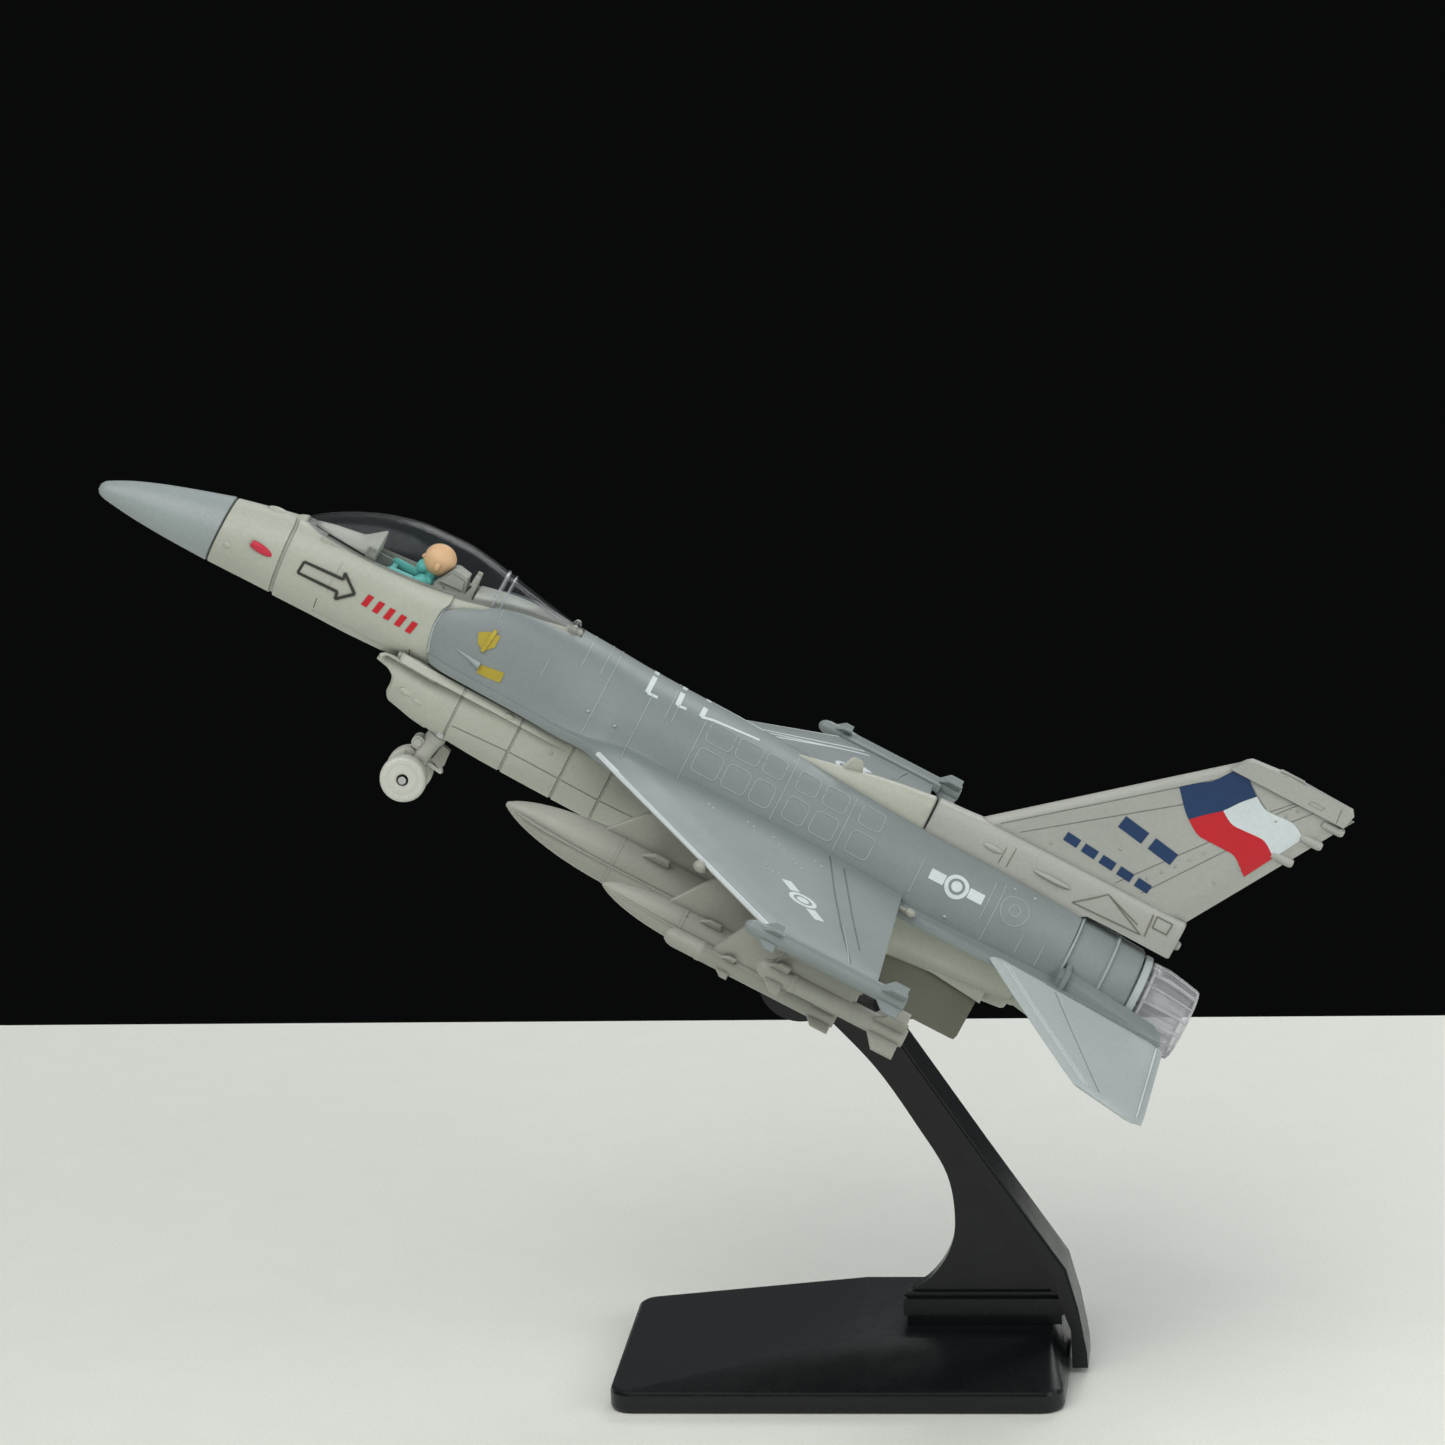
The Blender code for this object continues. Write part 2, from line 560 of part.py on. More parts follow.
def build_ventral_fins():
    """Two canted keels under the rear fuselage."""
    for name, side in sides():
        at_root = ((151.5, 6.6), (171.7, 6.6), (171.7, 7.5), (151.5, 7.5))
        at_tip = ((157.5, 9.3), (171.4, 9.3), (171.4, 9.9), (157.5, 9.9))
        root = [Vector((x, side * y, -9.5)) for x, y in at_root]
        tip = [Vector((x, side * y, -18.4)) for x, y in at_tip]
        keel = part("ventral_fin_" + name, loft([root, tip]), KHAKI)
        cut(keel, tool(trough(GAP)))


def build_nozzle():
    """A bright collar, then a ring of clear petals with sixteen sides."""
    ring = [(7.75, 0.7), (7.75, -0.7), (6.1, -0.7), (6.1, 0.7)]
    turned("nozzle_ring", ring, CLEAR_SILVER, (194.9, 0, -0.4), (-1, 0, 0), steps=24, closed=True)
    petals = [(7.3, 4.6), (7.25, 1.5), (6.2, -4.5), (5.4, -4.5), (6.3, 1.5), (6.35, 4.6)]
    turned("nozzle_petals", petals, CLEAR, (200.7, 0, -0.6), (-1, 0, 0), steps=16, closed=True)


# ---------------------------------------------------------------- cockpit
def build_cockpit():
    tub = part("cockpit_tub", box((38.9, -4.8, 0.9), (65.8, 4.8, 7.4)), KHAKI)
    cut(tub, tool(box((39.8, -4.0, 1.8), (64.9, 4.0, 9.0))))
    hood = [(36.6, 2.2, 8.9), (42.0, 3.6, 10.0), (46.6, 4.3, 12.1), (47.4, 4.3, 9.6)]
    part("instrument_coaming", loft([half_ring(x, w, top, 8.3, 1.6) for x, w, top in hood]), KHAKI)
    seat = [
        (51.6, 2.2), (51.6, 3.5), (59.3, 3.7), (60.4, 9.4), (60.6, 11.9), (62.4, 10.9),
        (63.0, 10.2), (63.2, 12.7), (64.3, 12.7), (64.3, 2.2),
    ]
    part("pilot_seat", side_plate(seat, -2.3, 2.3), KHAKI)


def build_pilot():
    """A plain moulded figure: body with forward arms, and a round head."""
    body = part("pilot_body", ball((55.6, 0, 6.2), (2.5, 3.1, 2.1), 14, 8), TEAL)
    for _, side in sides():
        reach = Vector((-5.2, 0, -0.2))
        join(body, tool(rod(Vector((53.4, side * 2.5, 7.1)), reach, 1.0, 6.0, sides=10)))
    part("pilot_head", ball((56.9, 0, 12.1), (3.0, 2.7, 3.1)), PEACH, Vector((56.9, 0, 12.1)))


def build_canopy():
    """A thin blown canopy with a hinge barrel behind it, and the pin that it turns on."""
    rows = [
        (34.4, 2.0, 8.1, 9.1), (37.0, 3.9, 8.3, 10.9), (41.0, 5.4, 8.3, 13.0), (46.5, 6.3, 8.4, 15.3),
        (53.0, 6.7, 9.3, 17.1), (60.0, 6.7, 10.6, 17.2), (66.5, 6.1, 12.7, 16.3), (72.8, 4.9, 12.7, 15.0),
        (81.4, 1.9, 12.2, 13.3),
    ]
    shape = bmesh.new()
    count = 11
    loops = []
    for x, w, base, top in rows:
        loops.append([shape.verts.new(point) for point in half_ring(x, w, top, base, 2.1, count)])
    for near, far in zip(loops, loops[1:]):
        for i in range(count - 1):
            shape.faces.new((near[i], near[i + 1], far[i + 1], far[i]))
    canopy = part("canopy", shape, CLEAR, CANOPY_HINGE)
    skin = canopy.modifiers.new("skin", "SOLIDIFY")
    skin.thickness = 0.6 * MM
    skin.offset = -1.0
    join(canopy, tool(rod(CANOPY_HINGE, (0, 1, 0), 0.9, 2.6, sides=16)))
    join(canopy, tool(box((80.6, -1.0, 12.5), (82.6, 1.0, 13.4))))
    cut(canopy, tool(rod(CANOPY_HINGE, (0, 1, 0), CANOPY_PIN_RADIUS + PIN_PLAY, 7.0, sides=16)))
    part("canopy_pin", rod(CANOPY_HINGE, (0, 1, 0), CANOPY_PIN_RADIUS, 5.0, sides=12), STEEL, CANOPY_HINGE)


# ---------------------------------------------------------------- landing gear
def wheel(name, radius, half_width, bore, middle, axis):
    """A tyre and disc in one moulding, with a raised rim and a bored hub."""
    profile = [
        (bore, half_width), (radius * 0.42, half_width), (radius * 0.5, half_width - 0.35),
        (radius * 0.72, half_width - 0.35), (radius * 0.78, half_width), (radius * 0.92, half_width),
        (radius, half_width * 0.55), (radius, -half_width * 0.55), (radius * 0.92, -half_width),
        (bore, -half_width),
    ]
    return turned(name, profile, KHAKI, middle, axis, steps=18, closed=True)


def build_nose_gear():
    """A folding leg on a pin in its bay, with two lamps, a door bracket and twin wheels on one axle."""
    axis = NOSE_HINGE - NOSE_AXLE
    middle = (NOSE_HINGE + NOSE_AXLE) / 2
    leg = part("nose_gear_leg", rod(middle, axis, 1.5, axis.length - 0.6), KHAKI, NOSE_HINGE)
    join(leg, tool(rod(NOSE_HINGE, (0, 1, 0), 1.5, 3.6)))
    join(leg, tool(rod(NOSE_AXLE, (0, 1, 0), 1.5, 3.0)))
    for down, radius in ((5.2, 1.1), (7.6, 0.9)):
        lamp = NOSE_HINGE - axis.normalized() * down + Vector((-1.9, 0, 0))
        join(leg, tool(rod(lamp, (0, 1, 0), radius, 2.6, sides=14)))
    for place, hole in ((NOSE_HINGE, GEAR_PIN_RADIUS), (NOSE_AXLE, NOSE_AXLE_RADIUS)):
        cut(leg, tool(rod(place, (0, 1, 0), hole + PIN_PLAY, 8.0, sides=16)))
    door = [(71.6, -16.4), (73.2, -16.8), (73.4, -19.6), (72.6, -20.3), (71.0, -19.6)]
    part("nose_gear_door", side_plate(door, -0.6, 0.6), KHAKI, NOSE_HINGE)
    part("nose_gear_pin", rod(NOSE_HINGE, (0, 1, 0), GEAR_PIN_RADIUS, 15.0, sides=16), STEEL, NOSE_HINGE)
    part("nose_axle", rod(NOSE_AXLE, (0, 1, 0), NOSE_AXLE_RADIUS, 10.4, sides=16), STEEL, NOSE_AXLE)
    for name, side in sides():
        place = NOSE_AXLE + Vector((0, side * 3.5, 0))
        wheel("nose_wheel_" + name, NOSE_WHEEL_RADIUS, 1.55, 0.95, place, (0, side, 0))


def build_main_gear():
    """Two legs folded forward in their bays, each with one wheel on a stub axle."""
    for name, side in sides():
        hinge = Vector((MAIN_HINGE.x, side * MAIN_HINGE.y, MAIN_HINGE.z))
        axle = Vector((MAIN_AXLE.x, side * MAIN_AXLE.y, MAIN_AXLE.z))
        leg = part("main_gear_leg_" + name, rod((hinge + axle) / 2, (1, 0, 0), 1.1, 11.0), KHAKI, hinge)
        join(leg, tool(rod(hinge, (0, 1, 0), 1.4, 2.4)))
        join(leg, tool(rod(axle, (0, 1, 0), 1.5, 2.2)))
        for place in (hinge, axle):
            cut(leg, tool(rod(place, (0, 1, 0), GEAR_PIN_RADIUS + PIN_PLAY, 8.0, sides=16)))
        pin_middle = Vector((hinge.x, side * 6.0, hinge.z))
        pin = rod(pin_middle, (0, 1, 0), GEAR_PIN_RADIUS, 10.0, sides=16)
        part("main_gear_pin_" + name, pin, STEEL, hinge)
        stub = Vector((axle.x, side * 7.1, axle.z))
        part("main_axle_" + name, rod(stub, (0, 1, 0), GEAR_PIN_RADIUS, 5.4, sides=16), STEEL, axle)
        place = Vector((axle.x, side * 8.4, axle.z))
        wheel("main_wheel_" + name, MAIN_WHEEL_RADIUS, 1.25, 0.85, place, (0, side, 0))


# ---------------------------------------------------------------- stores
def streamlined(length, radius, blunt=0.35, points=5):
    """Radius and height points of a body with an ogive nose, a long middle and a tapering tail."""
    nose, tail = 0.32 * length, 0.3 * length
    profile = [(0.0, length / 2)]
    for i in range(1, points):
        t = i / (points - 1)
        profile.append((radius * (1 - (1 - t) ** 2) ** (0.5 + blunt * 0.5), length / 2 - nose * t))
    for i in range(1, points):
        t = i / (points - 1)
        profile.append((radius * (1 - 0.72 * t ** 1.6), -length / 2 + tail * (1 - t)))
    profile.append((0.0, -length / 2))
    return profile


def missile_profile(length, radius):
    """A blunt-nosed straight body."""
    half = length / 2
    return [(0.0, half), (radius * 0.6, half - 0.4), (radius, half - 1.8), (radius, -half), (0.0, -half)]


FIN_PLATE_HALF = 0.3


def cross_fins(target, x, y, z, span, chord, sweep, turn=0.0):
    """Four thin fins around a body, as two crossed plates with a pointed front."""
    outline = [(x, -span), (x + chord, -span), (x + chord, span), (x, span), (x - sweep, 0.0)]
    for quarter in (0, 1):
        spin = Matrix.Rotation(radians(turn + 90 * quarter), 3, "X")
        rings = []
        for offset in (-FIN_PLATE_HALF, FIN_PLATE_HALF):
            spots = [(along, spin @ Vector((0, offset, height))) for along, height in outline]
            rings.append([Vector((along, y + spot.y, z + spot.z)) for along, spot in spots])
        join(target, tool(loft(rings)))


def build_stores():
    wing_under = -1.6
    for name, side in sides():
        tank_mid = (119.5, side * INNER_TANK_Y, INNER_TANK_Z)
        tank = turned("inner_tank_" + name, streamlined(67.0, 4.5), KHAKI, tank_mid, (-1, 0, 0))
        foot = INNER_TANK_Z + 3
        pylon = [(101.0, foot), (108.0, wing_under - GAP), (146.0, wing_under - GAP), (140.0, foot)]
        join(tank, tool(side_plate(pylon, side * INNER_TANK_Y - 0.9, side * INNER_TANK_Y + 0.9)))

        tank_mid = (130.0, side * OUTER_TANK_Y, OUTER_TANK_Z)
        tank = turned("outer_tank_" + name, streamlined(48.0, 3.1), KHAKI, tank_mid, (-1, 0, 0))
        foot = OUTER_TANK_Z + 2
        pylon = [(116.0, foot), (122.0, wing_under - GAP), (148.0, wing_under - GAP), (144.0, foot)]
        join(tank, tool(side_plate(pylon, side * OUTER_TANK_Y - 0.8, side * OUTER_TANK_Y + 0.8)))

        missile_mid = (134.0, side * WING_MISSILE_Y, WING_MISSILE_Z)
        missile = turned("wing_missile_" + name, missile_profile(31.0, 1.6), KHAKI, missile_mid, (-1, 0, 0))
        launcher = [(126.0, WING_MISSILE_Z + 1), (131.0, wing_under - GAP), (149.0, wing_under - GAP)]
        launcher += [(146.0, WING_MISSILE_Z + 1)]
        join(missile, tool(side_plate(launcher, side * WING_MISSILE_Y - 0.7, side * WING_MISSILE_Y + 0.7)))
        cross_fins(missile, 145.0, side * WING_MISSILE_Y, WING_MISSILE_Z, 2.8, 4.0, 1.5, 45.0)

        missile_mid = (147.0, side * TIP_MISSILE_Y, TIP_MISSILE_Z)
        missile = turned("tip_missile_" + name, missile_profile(26.5, 1.7), KHAKI, missile_mid, (-1, 0, 0))
        foot, seat = TIP_MISSILE_Z + 1, -1.1 - GAP
        launcher = [(136.0, foot), (138.0, seat), (151.0, seat), (150.0, foot)]
        join(missile, tool(side_plate(launcher, side * TIP_MISSILE_Y - 0.7, side * TIP_MISSILE_Y + 0.7)))
        cross_fins(missile, 135.0, side * TIP_MISSILE_Y, TIP_MISSILE_Z, 3.4, 3.6, 1.5, 45.0)
        cross_fins(missile, 154.4, side * TIP_MISSILE_Y, TIP_MISSILE_Z, 4.2, 5.0, 2.0, 45.0)

        rail_mid = (143.0, side * RAIL_Y, 0.0)
        rail_profile = missile_profile(28.5, 1.3)
        rail = turned("wingtip_rail_" + name, rail_profile, GREY, rail_mid, (-1, 0, 0), steps=12)
        bar = sorted((side * (HALF_SPAN + GAP), side * RAIL_Y))
        join(rail, tool(box((133.4, bar[0], -0.7), (153.4, bar[1], 0.7))))
        cross_fins(rail, 131.0, side * RAIL_Y, 0.0, 2.4, 3.6, 1.2, 45.0)
        cross_fins(rail, 152.6, side * RAIL_Y, 0.0, 2.8, 4.2, 1.5, 45.0)


def main():
    build_base()
    build_arm()
    build_stand_pin()
    build_plug()
    build_radome()
    build_nose_fuselage()
    build_upper_shell()
    build_lower_shell()
    build_screws()
    build_intake()
    build_rear_deck()
    build_spine_and_fin()
    build_tailplanes()
    build_ventral_fins()
    build_nozzle()
    build_cockpit()
    build_pilot()
    build_canopy()
    build_nose_gear()
    build_main_gear()
    build_stores()


main()
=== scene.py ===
"""Looks of a toy jet on its display stand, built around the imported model.

Pieces are drawn in millimetres, in one of two frames, and become metres when a piece is made:
  stand frame     X towards the tail, Y to starboard, Z up, origin under the base's centre
  airframe frame  x aft from the nose, y to starboard, z up from the wing plane
"""

import json
from math import copysign, cos, pi, radians, sin

import bmesh
import bpy
from mathutils import Matrix, Vector


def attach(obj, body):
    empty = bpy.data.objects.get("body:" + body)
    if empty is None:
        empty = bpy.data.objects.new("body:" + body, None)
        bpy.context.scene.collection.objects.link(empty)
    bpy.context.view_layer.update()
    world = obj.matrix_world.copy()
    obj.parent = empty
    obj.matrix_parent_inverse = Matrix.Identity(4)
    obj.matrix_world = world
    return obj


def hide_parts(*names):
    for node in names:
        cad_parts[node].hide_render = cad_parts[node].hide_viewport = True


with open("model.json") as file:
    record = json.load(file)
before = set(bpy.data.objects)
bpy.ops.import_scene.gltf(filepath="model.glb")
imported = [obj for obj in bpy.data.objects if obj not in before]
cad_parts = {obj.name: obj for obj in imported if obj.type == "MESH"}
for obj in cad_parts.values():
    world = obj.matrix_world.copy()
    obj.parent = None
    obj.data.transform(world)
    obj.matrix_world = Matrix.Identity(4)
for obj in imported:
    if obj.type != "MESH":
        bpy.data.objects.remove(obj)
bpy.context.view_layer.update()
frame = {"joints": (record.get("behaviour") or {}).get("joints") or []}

MM = 0.001
CLIMB_ANGLE = radians(29.0)
PIVOT = Vector((144.0, 0.0, -23.3))
PIVOT_WORLD = Vector(next(j for j in frame["joints"] if j["name"] == "stand_tilt")["pos_m"])
TO_METRES = Matrix.Scale(MM, 4)
STAND = TO_METRES
AIRFRAME = (
    Matrix.Translation(PIVOT_WORLD)
    @ Matrix.Rotation(CLIMB_ANGLE, 4, "Y")
    @ TO_METRES
    @ Matrix.Translation(-PIVOT)
)

# Airframe sizes
SPLIT_Z = -2.4
HALF_SPAN = 62.3
WING_REAR_X = 152.0
BELLY_Z = -15.0
BELLY_POWER = 3.4
CANOPY_HINGE = Vector((82.6, 0.0, 12.9))
NOSE_HINGE = Vector((70.6, 0.0, -12.9))
NOSE_AXLE = Vector((68.3, 0.0, -23.9))
NOSE_WHEEL_RADIUS, MAIN_WHEEL_RADIUS = 4.0, 4.0
MAIN_AXLE = Vector((114.8, 5.6, -12.7))
INNER_TANK_Y, INNER_TANK_Z = 26.0, -12.6
OUTER_TANK_Y, OUTER_TANK_Z = 42.0, -12.3
WING_MISSILE_Y, WING_MISSILE_Z = 51.0, -12.0
TIP_MISSILE_Y, TIP_MISSILE_Z = 59.0, -7.0
RAIL_Y = 65.4
SIDES = (("port", -1), ("starboard", 1))


# ---------------------------------------------------------------- materials
def linear(red, green, blue):
    """A screen colour from 0 to 255 as the linear colour that a shader takes."""
    return tuple((value / 255) ** 2.2 for value in (red, green, blue))


class Recipe:
    """A material under construction: adds nodes and links with little writing."""

    def __init__(self, name):
        self.material = bpy.data.materials.new(name)
        self.material.use_nodes = True
        self.tree = self.material.node_tree
        self.tree.nodes.clear()
        self.out = self.tree.nodes.new("ShaderNodeOutputMaterial")
        self.place = self.tree.nodes.new("ShaderNodeTexCoord").outputs["Object"]

    def add(self, kind, **values):
        made = self.tree.nodes.new("ShaderNode" + kind)
        for key, value in values.items():
            if key.startswith("in_"):
                made.inputs[key[3:].replace("_", " ")].default_value = value
            else:
                setattr(made, key, value)
        return made

    def link(self, source, target):
        self.tree.links.new(source, target)

    def noise(self, scale, detail=2.0):
        made = self.add("TexNoise", in_Scale=scale, in_Detail=detail)
        self.link(self.place, made.inputs["Vector"])
        return made.outputs["Fac"]

    def spread(self, value, low, high, start=0.3, end=0.7):
        """Maps a 0 to 1 pattern on to a range."""
        made = self.add("MapRange")
        for name, number in (("From Min", start), ("From Max", end), ("To Min", low), ("To Max", high)):
            made.inputs[name].default_value = number
        self.link(value, made.inputs["Value"])
        return made.outputs["Result"]

    def mix(self, amount, first, second, blend="MIX"):
        made = self.add("Mix", data_type="RGBA", blend_type=blend)
        if isinstance(amount, float):
            made.inputs[0].default_value = amount
        else:
            self.link(amount, made.inputs[0])
        for value, slot in ((first, made.inputs[6]), (second, made.inputs[7])):
            if isinstance(value, tuple):
                slot.default_value = (*value, 1.0)
            else:
                self.link(value, slot)
        return made.outputs[2]


def moulded(name, colour, roughness, grain=0.3, blotch=0.06, crevice=0.5, metallic=0.0, shine=0.5):
    """Plastic or paint: a fine grain, faint blotches, uneven gloss, and painted shade that darkens crevices
    found by an occlusion node.
    """
    recipe = Recipe(name)
    shader = recipe.add("BsdfPrincipled", in_Metallic=metallic)
    shader.inputs["Specular IOR Level"].default_value = shine
    darker = tuple(value * (1 - blotch) for value in colour)
    lighter = tuple(min(1.0, value * (1 + blotch)) for value in colour)
    cloud = recipe.mix(recipe.spread(recipe.noise(90.0, 4.0), 0.0, 1.0), darker, lighter)
    speck = recipe.spread(recipe.noise(1700.0, 3.0), 0.96, 1.04)
    tone = recipe.mix(1.0, cloud, speck, "MULTIPLY")
    # Painted shade: an ambient occlusion node darkens the base colour in crevices, down to the crevice share
    # of full brightness.
    shade = recipe.add("AmbientOcclusion", samples=3)
    shade.inputs["Distance"].default_value = 0.0012
    painted_crevice_shade = recipe.spread(shade.outputs["AO"], crevice, 1.0, 0.35, 0.95)
    recipe.link(recipe.mix(1.0, tone, painted_crevice_shade, "MULTIPLY"), shader.inputs["Base Color"])
    uneven = recipe.spread(recipe.noise(260.0, 3.0), roughness - 0.03, roughness + 0.03)
    recipe.link(uneven, shader.inputs["Roughness"])
    bump = recipe.add("Bump", in_Strength=grain, in_Distance=0.00004)
    recipe.link(recipe.noise(3200.0, 3.0), bump.inputs["Height"])
    recipe.link(bump.outputs["Normal"], shader.inputs["Normal"])
    recipe.link(shader.outputs["BSDF"], recipe.out.inputs["Surface"])
    return recipe.material


def clear(name, tint, veil_colour, veil, roughness, shine):
    """Thin clear plastic: see-through, with a faint veil and reflections that grow towards its rim."""
    recipe = Recipe(name)
    through = recipe.add("BsdfTransparent", in_Color=(*tint, 1.0))
    milk = recipe.add("BsdfDiffuse", in_Color=(*veil_colour, 1.0))
    gloss = recipe.add("BsdfGlossy", in_Color=(1.0, 1.0, 1.0, 1.0))
    recipe.link(
        recipe.spread(recipe.noise(700.0, 3.0), roughness, roughness + 0.08), gloss.inputs["Roughness"]
    )
    bump = recipe.add("Bump", in_Strength=0.12, in_Distance=0.00003)
    recipe.link(recipe.noise(1300.0, 2.0), bump.inputs["Height"])
    recipe.link(bump.outputs["Normal"], gloss.inputs["Normal"])
    body = recipe.add("MixShader")
    recipe.link(recipe.spread(recipe.noise(120.0, 3.0), veil * 0.8, veil * 1.2), body.inputs[0])
    recipe.link(through.outputs[0], body.inputs[1])
    recipe.link(milk.outputs[0], body.inputs[2])
    facing = recipe.add("LayerWeight", in_Blend=0.5).outputs["Facing"]
    steep = recipe.add("Math", operation="POWER")
    recipe.link(facing, steep.inputs[0])
    steep.inputs[1].default_value = 3.0
    whole = recipe.add("MixShader")
    recipe.link(recipe.spread(steep.outputs[0], 0.03 * shine, 0.5 * shine, 0.0, 1.0), whole.inputs[0])
    recipe.link(body.outputs[0], whole.inputs[1])
    recipe.link(gloss.outputs[0], whole.inputs[2])
    recipe.link(whole.outputs[0], recipe.out.inputs["Surface"])
    return recipe.material


GREY = moulded("painted_grey", linear(129, 138, 138), 0.46, 0.25, 0.035, 0.85)
GREY_LIGHT = moulded("pale_grey_plastic", linear(150, 160, 160), 0.44, 0.25, 0.035, 0.75)
# Lighter grey for raised lines and rivets: a painted highlight for the light their edges catch.
GREY_HIGHLIGHT = moulded("grey_painted_highlights", linear(160, 170, 170), 0.42, 0.2, 0.04, 0.9)
# Near-white for leading edge beads and tailplane lines: a painted highlight.
EDGE_HIGHLIGHT = moulded("painted_edge_highlights", linear(206, 214, 215), 0.45, 0.2, 0.06, 0.9)
KHAKI = moulded("khaki_plastic", linear(176, 180, 167), 0.46, 0.25, 0.035, 0.42)
SHADE_GREY = moulded("shaded_grey_lines", linear(92, 100, 101), 0.5, 0.2, 0.05, 0.6)
TAIL_GREY = moulded("tailplane_plastic", linear(172, 181, 181), 0.44, 0.25, 0.035, 0.75)
GEAR = moulded("gear_plastic", linear(200, 202, 192), 0.36, 0.25, 0.035, 0.45)
# Darker khaki: painted shade on the keels under the wing, and the colour of the fin base's dark panel lines.
KHAKI_SHADE_AND_LINES = moulded("khaki_keel_shade_and_lines", linear(114, 114, 101), 0.48, 0.25, 0.035, 0.45)
FIN_GREY = moulded("fin_plastic", linear(168, 170, 163), 0.46, 0.25, 0.035, 0.42)
# Darker khaki for the stores: painted shade from the wings above them; the wing knobs and gear legs and door
# share it.
SHADED_KHAKI = moulded("khaki_painted_shade", linear(156, 157, 147), 0.44, 0.25, 0.035, 0.45)
BLACK = moulded("black_plastic", linear(16, 20, 22), 0.28, 0.3, 0.05, 0.7, shine=0.4)
TEAL = moulded("teal_plastic", linear(100, 200, 190), 0.42, 0.2, 0.05, 0.5)
PEACH = moulded("peach_plastic", linear(250, 200, 146), 0.48, 0.3, 0.05, 0.6)
STEEL = moulded("plated_steel", linear(190, 190, 192), 0.32, 0.15, 0.05, 0.6, metallic=1.0)
WHITE_INK = moulded("white_ink", linear(208, 218, 220), 0.5, 0.2, 0.05, 0.9)
NAVY_INK = moulded("navy_ink", linear(24, 56, 96), 0.45, 0.2, 0.06, 0.9)
RED_INK = moulded("red_ink", linear(194, 26, 40), 0.45, 0.2, 0.05, 0.9)
ROSE_INK = moulded("rose_ink", linear(196, 44, 66), 0.5, 0.2, 0.05, 0.9)
DARK_INK = moulded("dark_ink", linear(52, 52, 46), 0.55, 0.2, 0.08, 0.9)
GOLD_INK = moulded("gold_ink", linear(186, 166, 66), 0.38, 0.25, 0.1, 0.8, metallic=0.35)
GROOVE_INK = moulded("groove_shadow", linear(96, 92, 78), 0.7, 0.2, 0.1, 0.9)
SMOKY = clear("smoky_clear", (0.95, 0.955, 0.965), (0.34, 0.36, 0.42), 0.014, 0.14, 0.3)
PETAL = clear("clear_petals", (0.84, 0.84, 0.86), (0.74, 0.75, 0.77), 0.17, 0.12, 1.0)
PETAL_RIB = clear("clear_petal_ribs", (0.92, 0.92, 0.93), (0.7, 0.71, 0.72), 0.4, 0.12, 0.9)
CANOPY_EDGE = clear("clear_edges", (0.88, 0.89, 0.9), (0.66, 0.68, 0.72), 0.26, 0.12, 0.9)
FINISHES = {
    "painted_grey": (GREY, GREY_HIGHLIGHT, GREY_LIGHT, EDGE_HIGHLIGHT, SHADE_GREY, TAIL_GREY),
    "khaki_plastic": (KHAKI, KHAKI_SHADE_AND_LINES, SHADED_KHAKI, GEAR, FIN_GREY),
    "black_plastic": (BLACK,),
    "teal_plastic": (TEAL,),
    "peach_plastic": (PEACH,),
    "plated_steel": (STEEL,),
    "smoky_clear": (SMOKY, CANOPY_EDGE),
    "clear_petals": (PETAL, PETAL_RIB),
}
SLOTS = {material: slot for slot, materials in FINISHES.items() for material in materials}


# ---------------------------------------------------------------- building blocks
def piece(name, shape, material, body="airframe", stands_for=(), place=AIRFRAME, crease=38, bevel=0.0):
    """Turns a bmesh drawn in millimetres into a piece that rides on a body."""
    bmesh.ops.transform(shape, matrix=place, verts=shape.verts)
    bmesh.ops.recalc_face_normals(shape, faces=shape.faces)
    mesh = bpy.data.meshes.new(name)
    shape.to_mesh(mesh)
    shape.free()
    mesh.shade_smooth()
    mesh.set_sharp_from_angle(angle=radians(crease))
    mesh.materials.append(material)
    made = bpy.data.objects.new(name, mesh)
    bpy.context.scene.collection.objects.link(made)
    if bevel:
        rounding = made.modifiers.new("rounding", "BEVEL")
        rounding.width = bevel * MM
        rounding.segments = 2
        rounding.limit_method = "ANGLE"
        rounding.angle_limit = radians(30)
        rounding.harden_normals = True
    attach(made, body)
    if stands_for:
        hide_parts(*stands_for)
    return made


def box(low, high):
    shape = bmesh.new()
    bmesh.ops.create_cube(shape, size=1.0)
    bmesh.ops.scale(shape, vec=Vector(high) - Vector(low), verts=shape.verts)
    bmesh.ops.translate(shape, vec=(Vector(high) + Vector(low)) / 2, verts=shape.verts)
    return shape


def rod(middle, axis, radius, length, sides=32):
    shape = bmesh.new()
    turn = Vector((0, 0, 1)).rotation_difference(Vector(axis)).to_matrix().to_4x4()
    bmesh.ops.create_cone(
        shape, cap_ends=True, segments=sides, radius1=radius, radius2=radius, depth=length,
        matrix=Matrix.Translation(Vector(middle)) @ turn,
    )
    return shape


def ball(middle, radii, segments=28, rings=18):
    shape = bmesh.new()
    bmesh.ops.create_uvsphere(shape, u_segments=segments, v_segments=rings, radius=1.0)
    bmesh.ops.scale(shape, vec=radii, verts=shape.verts)
    bmesh.ops.translate(shape, vec=middle, verts=shape.verts)
    return shape


def loft(rings, closed=False):
    """Skins a row of closed rings with equal counts; caps both ends unless the row is closed."""
    shape = bmesh.new()
    loops = [[shape.verts.new(point) for point in ring] for ring in rings]
    count = len(loops[0])
    pairs = list(zip(loops, loops[1:]))
    if closed:
        pairs.append((loops[-1], loops[0]))
    for near, far in pairs:
        for i in range(count):
            j = (i + 1) % count
            shape.faces.new((near[i], near[j], far[j], far[i]))
    if not closed:
        shape.faces.new(loops[0])
        shape.faces.new(loops[-1])
    return shape


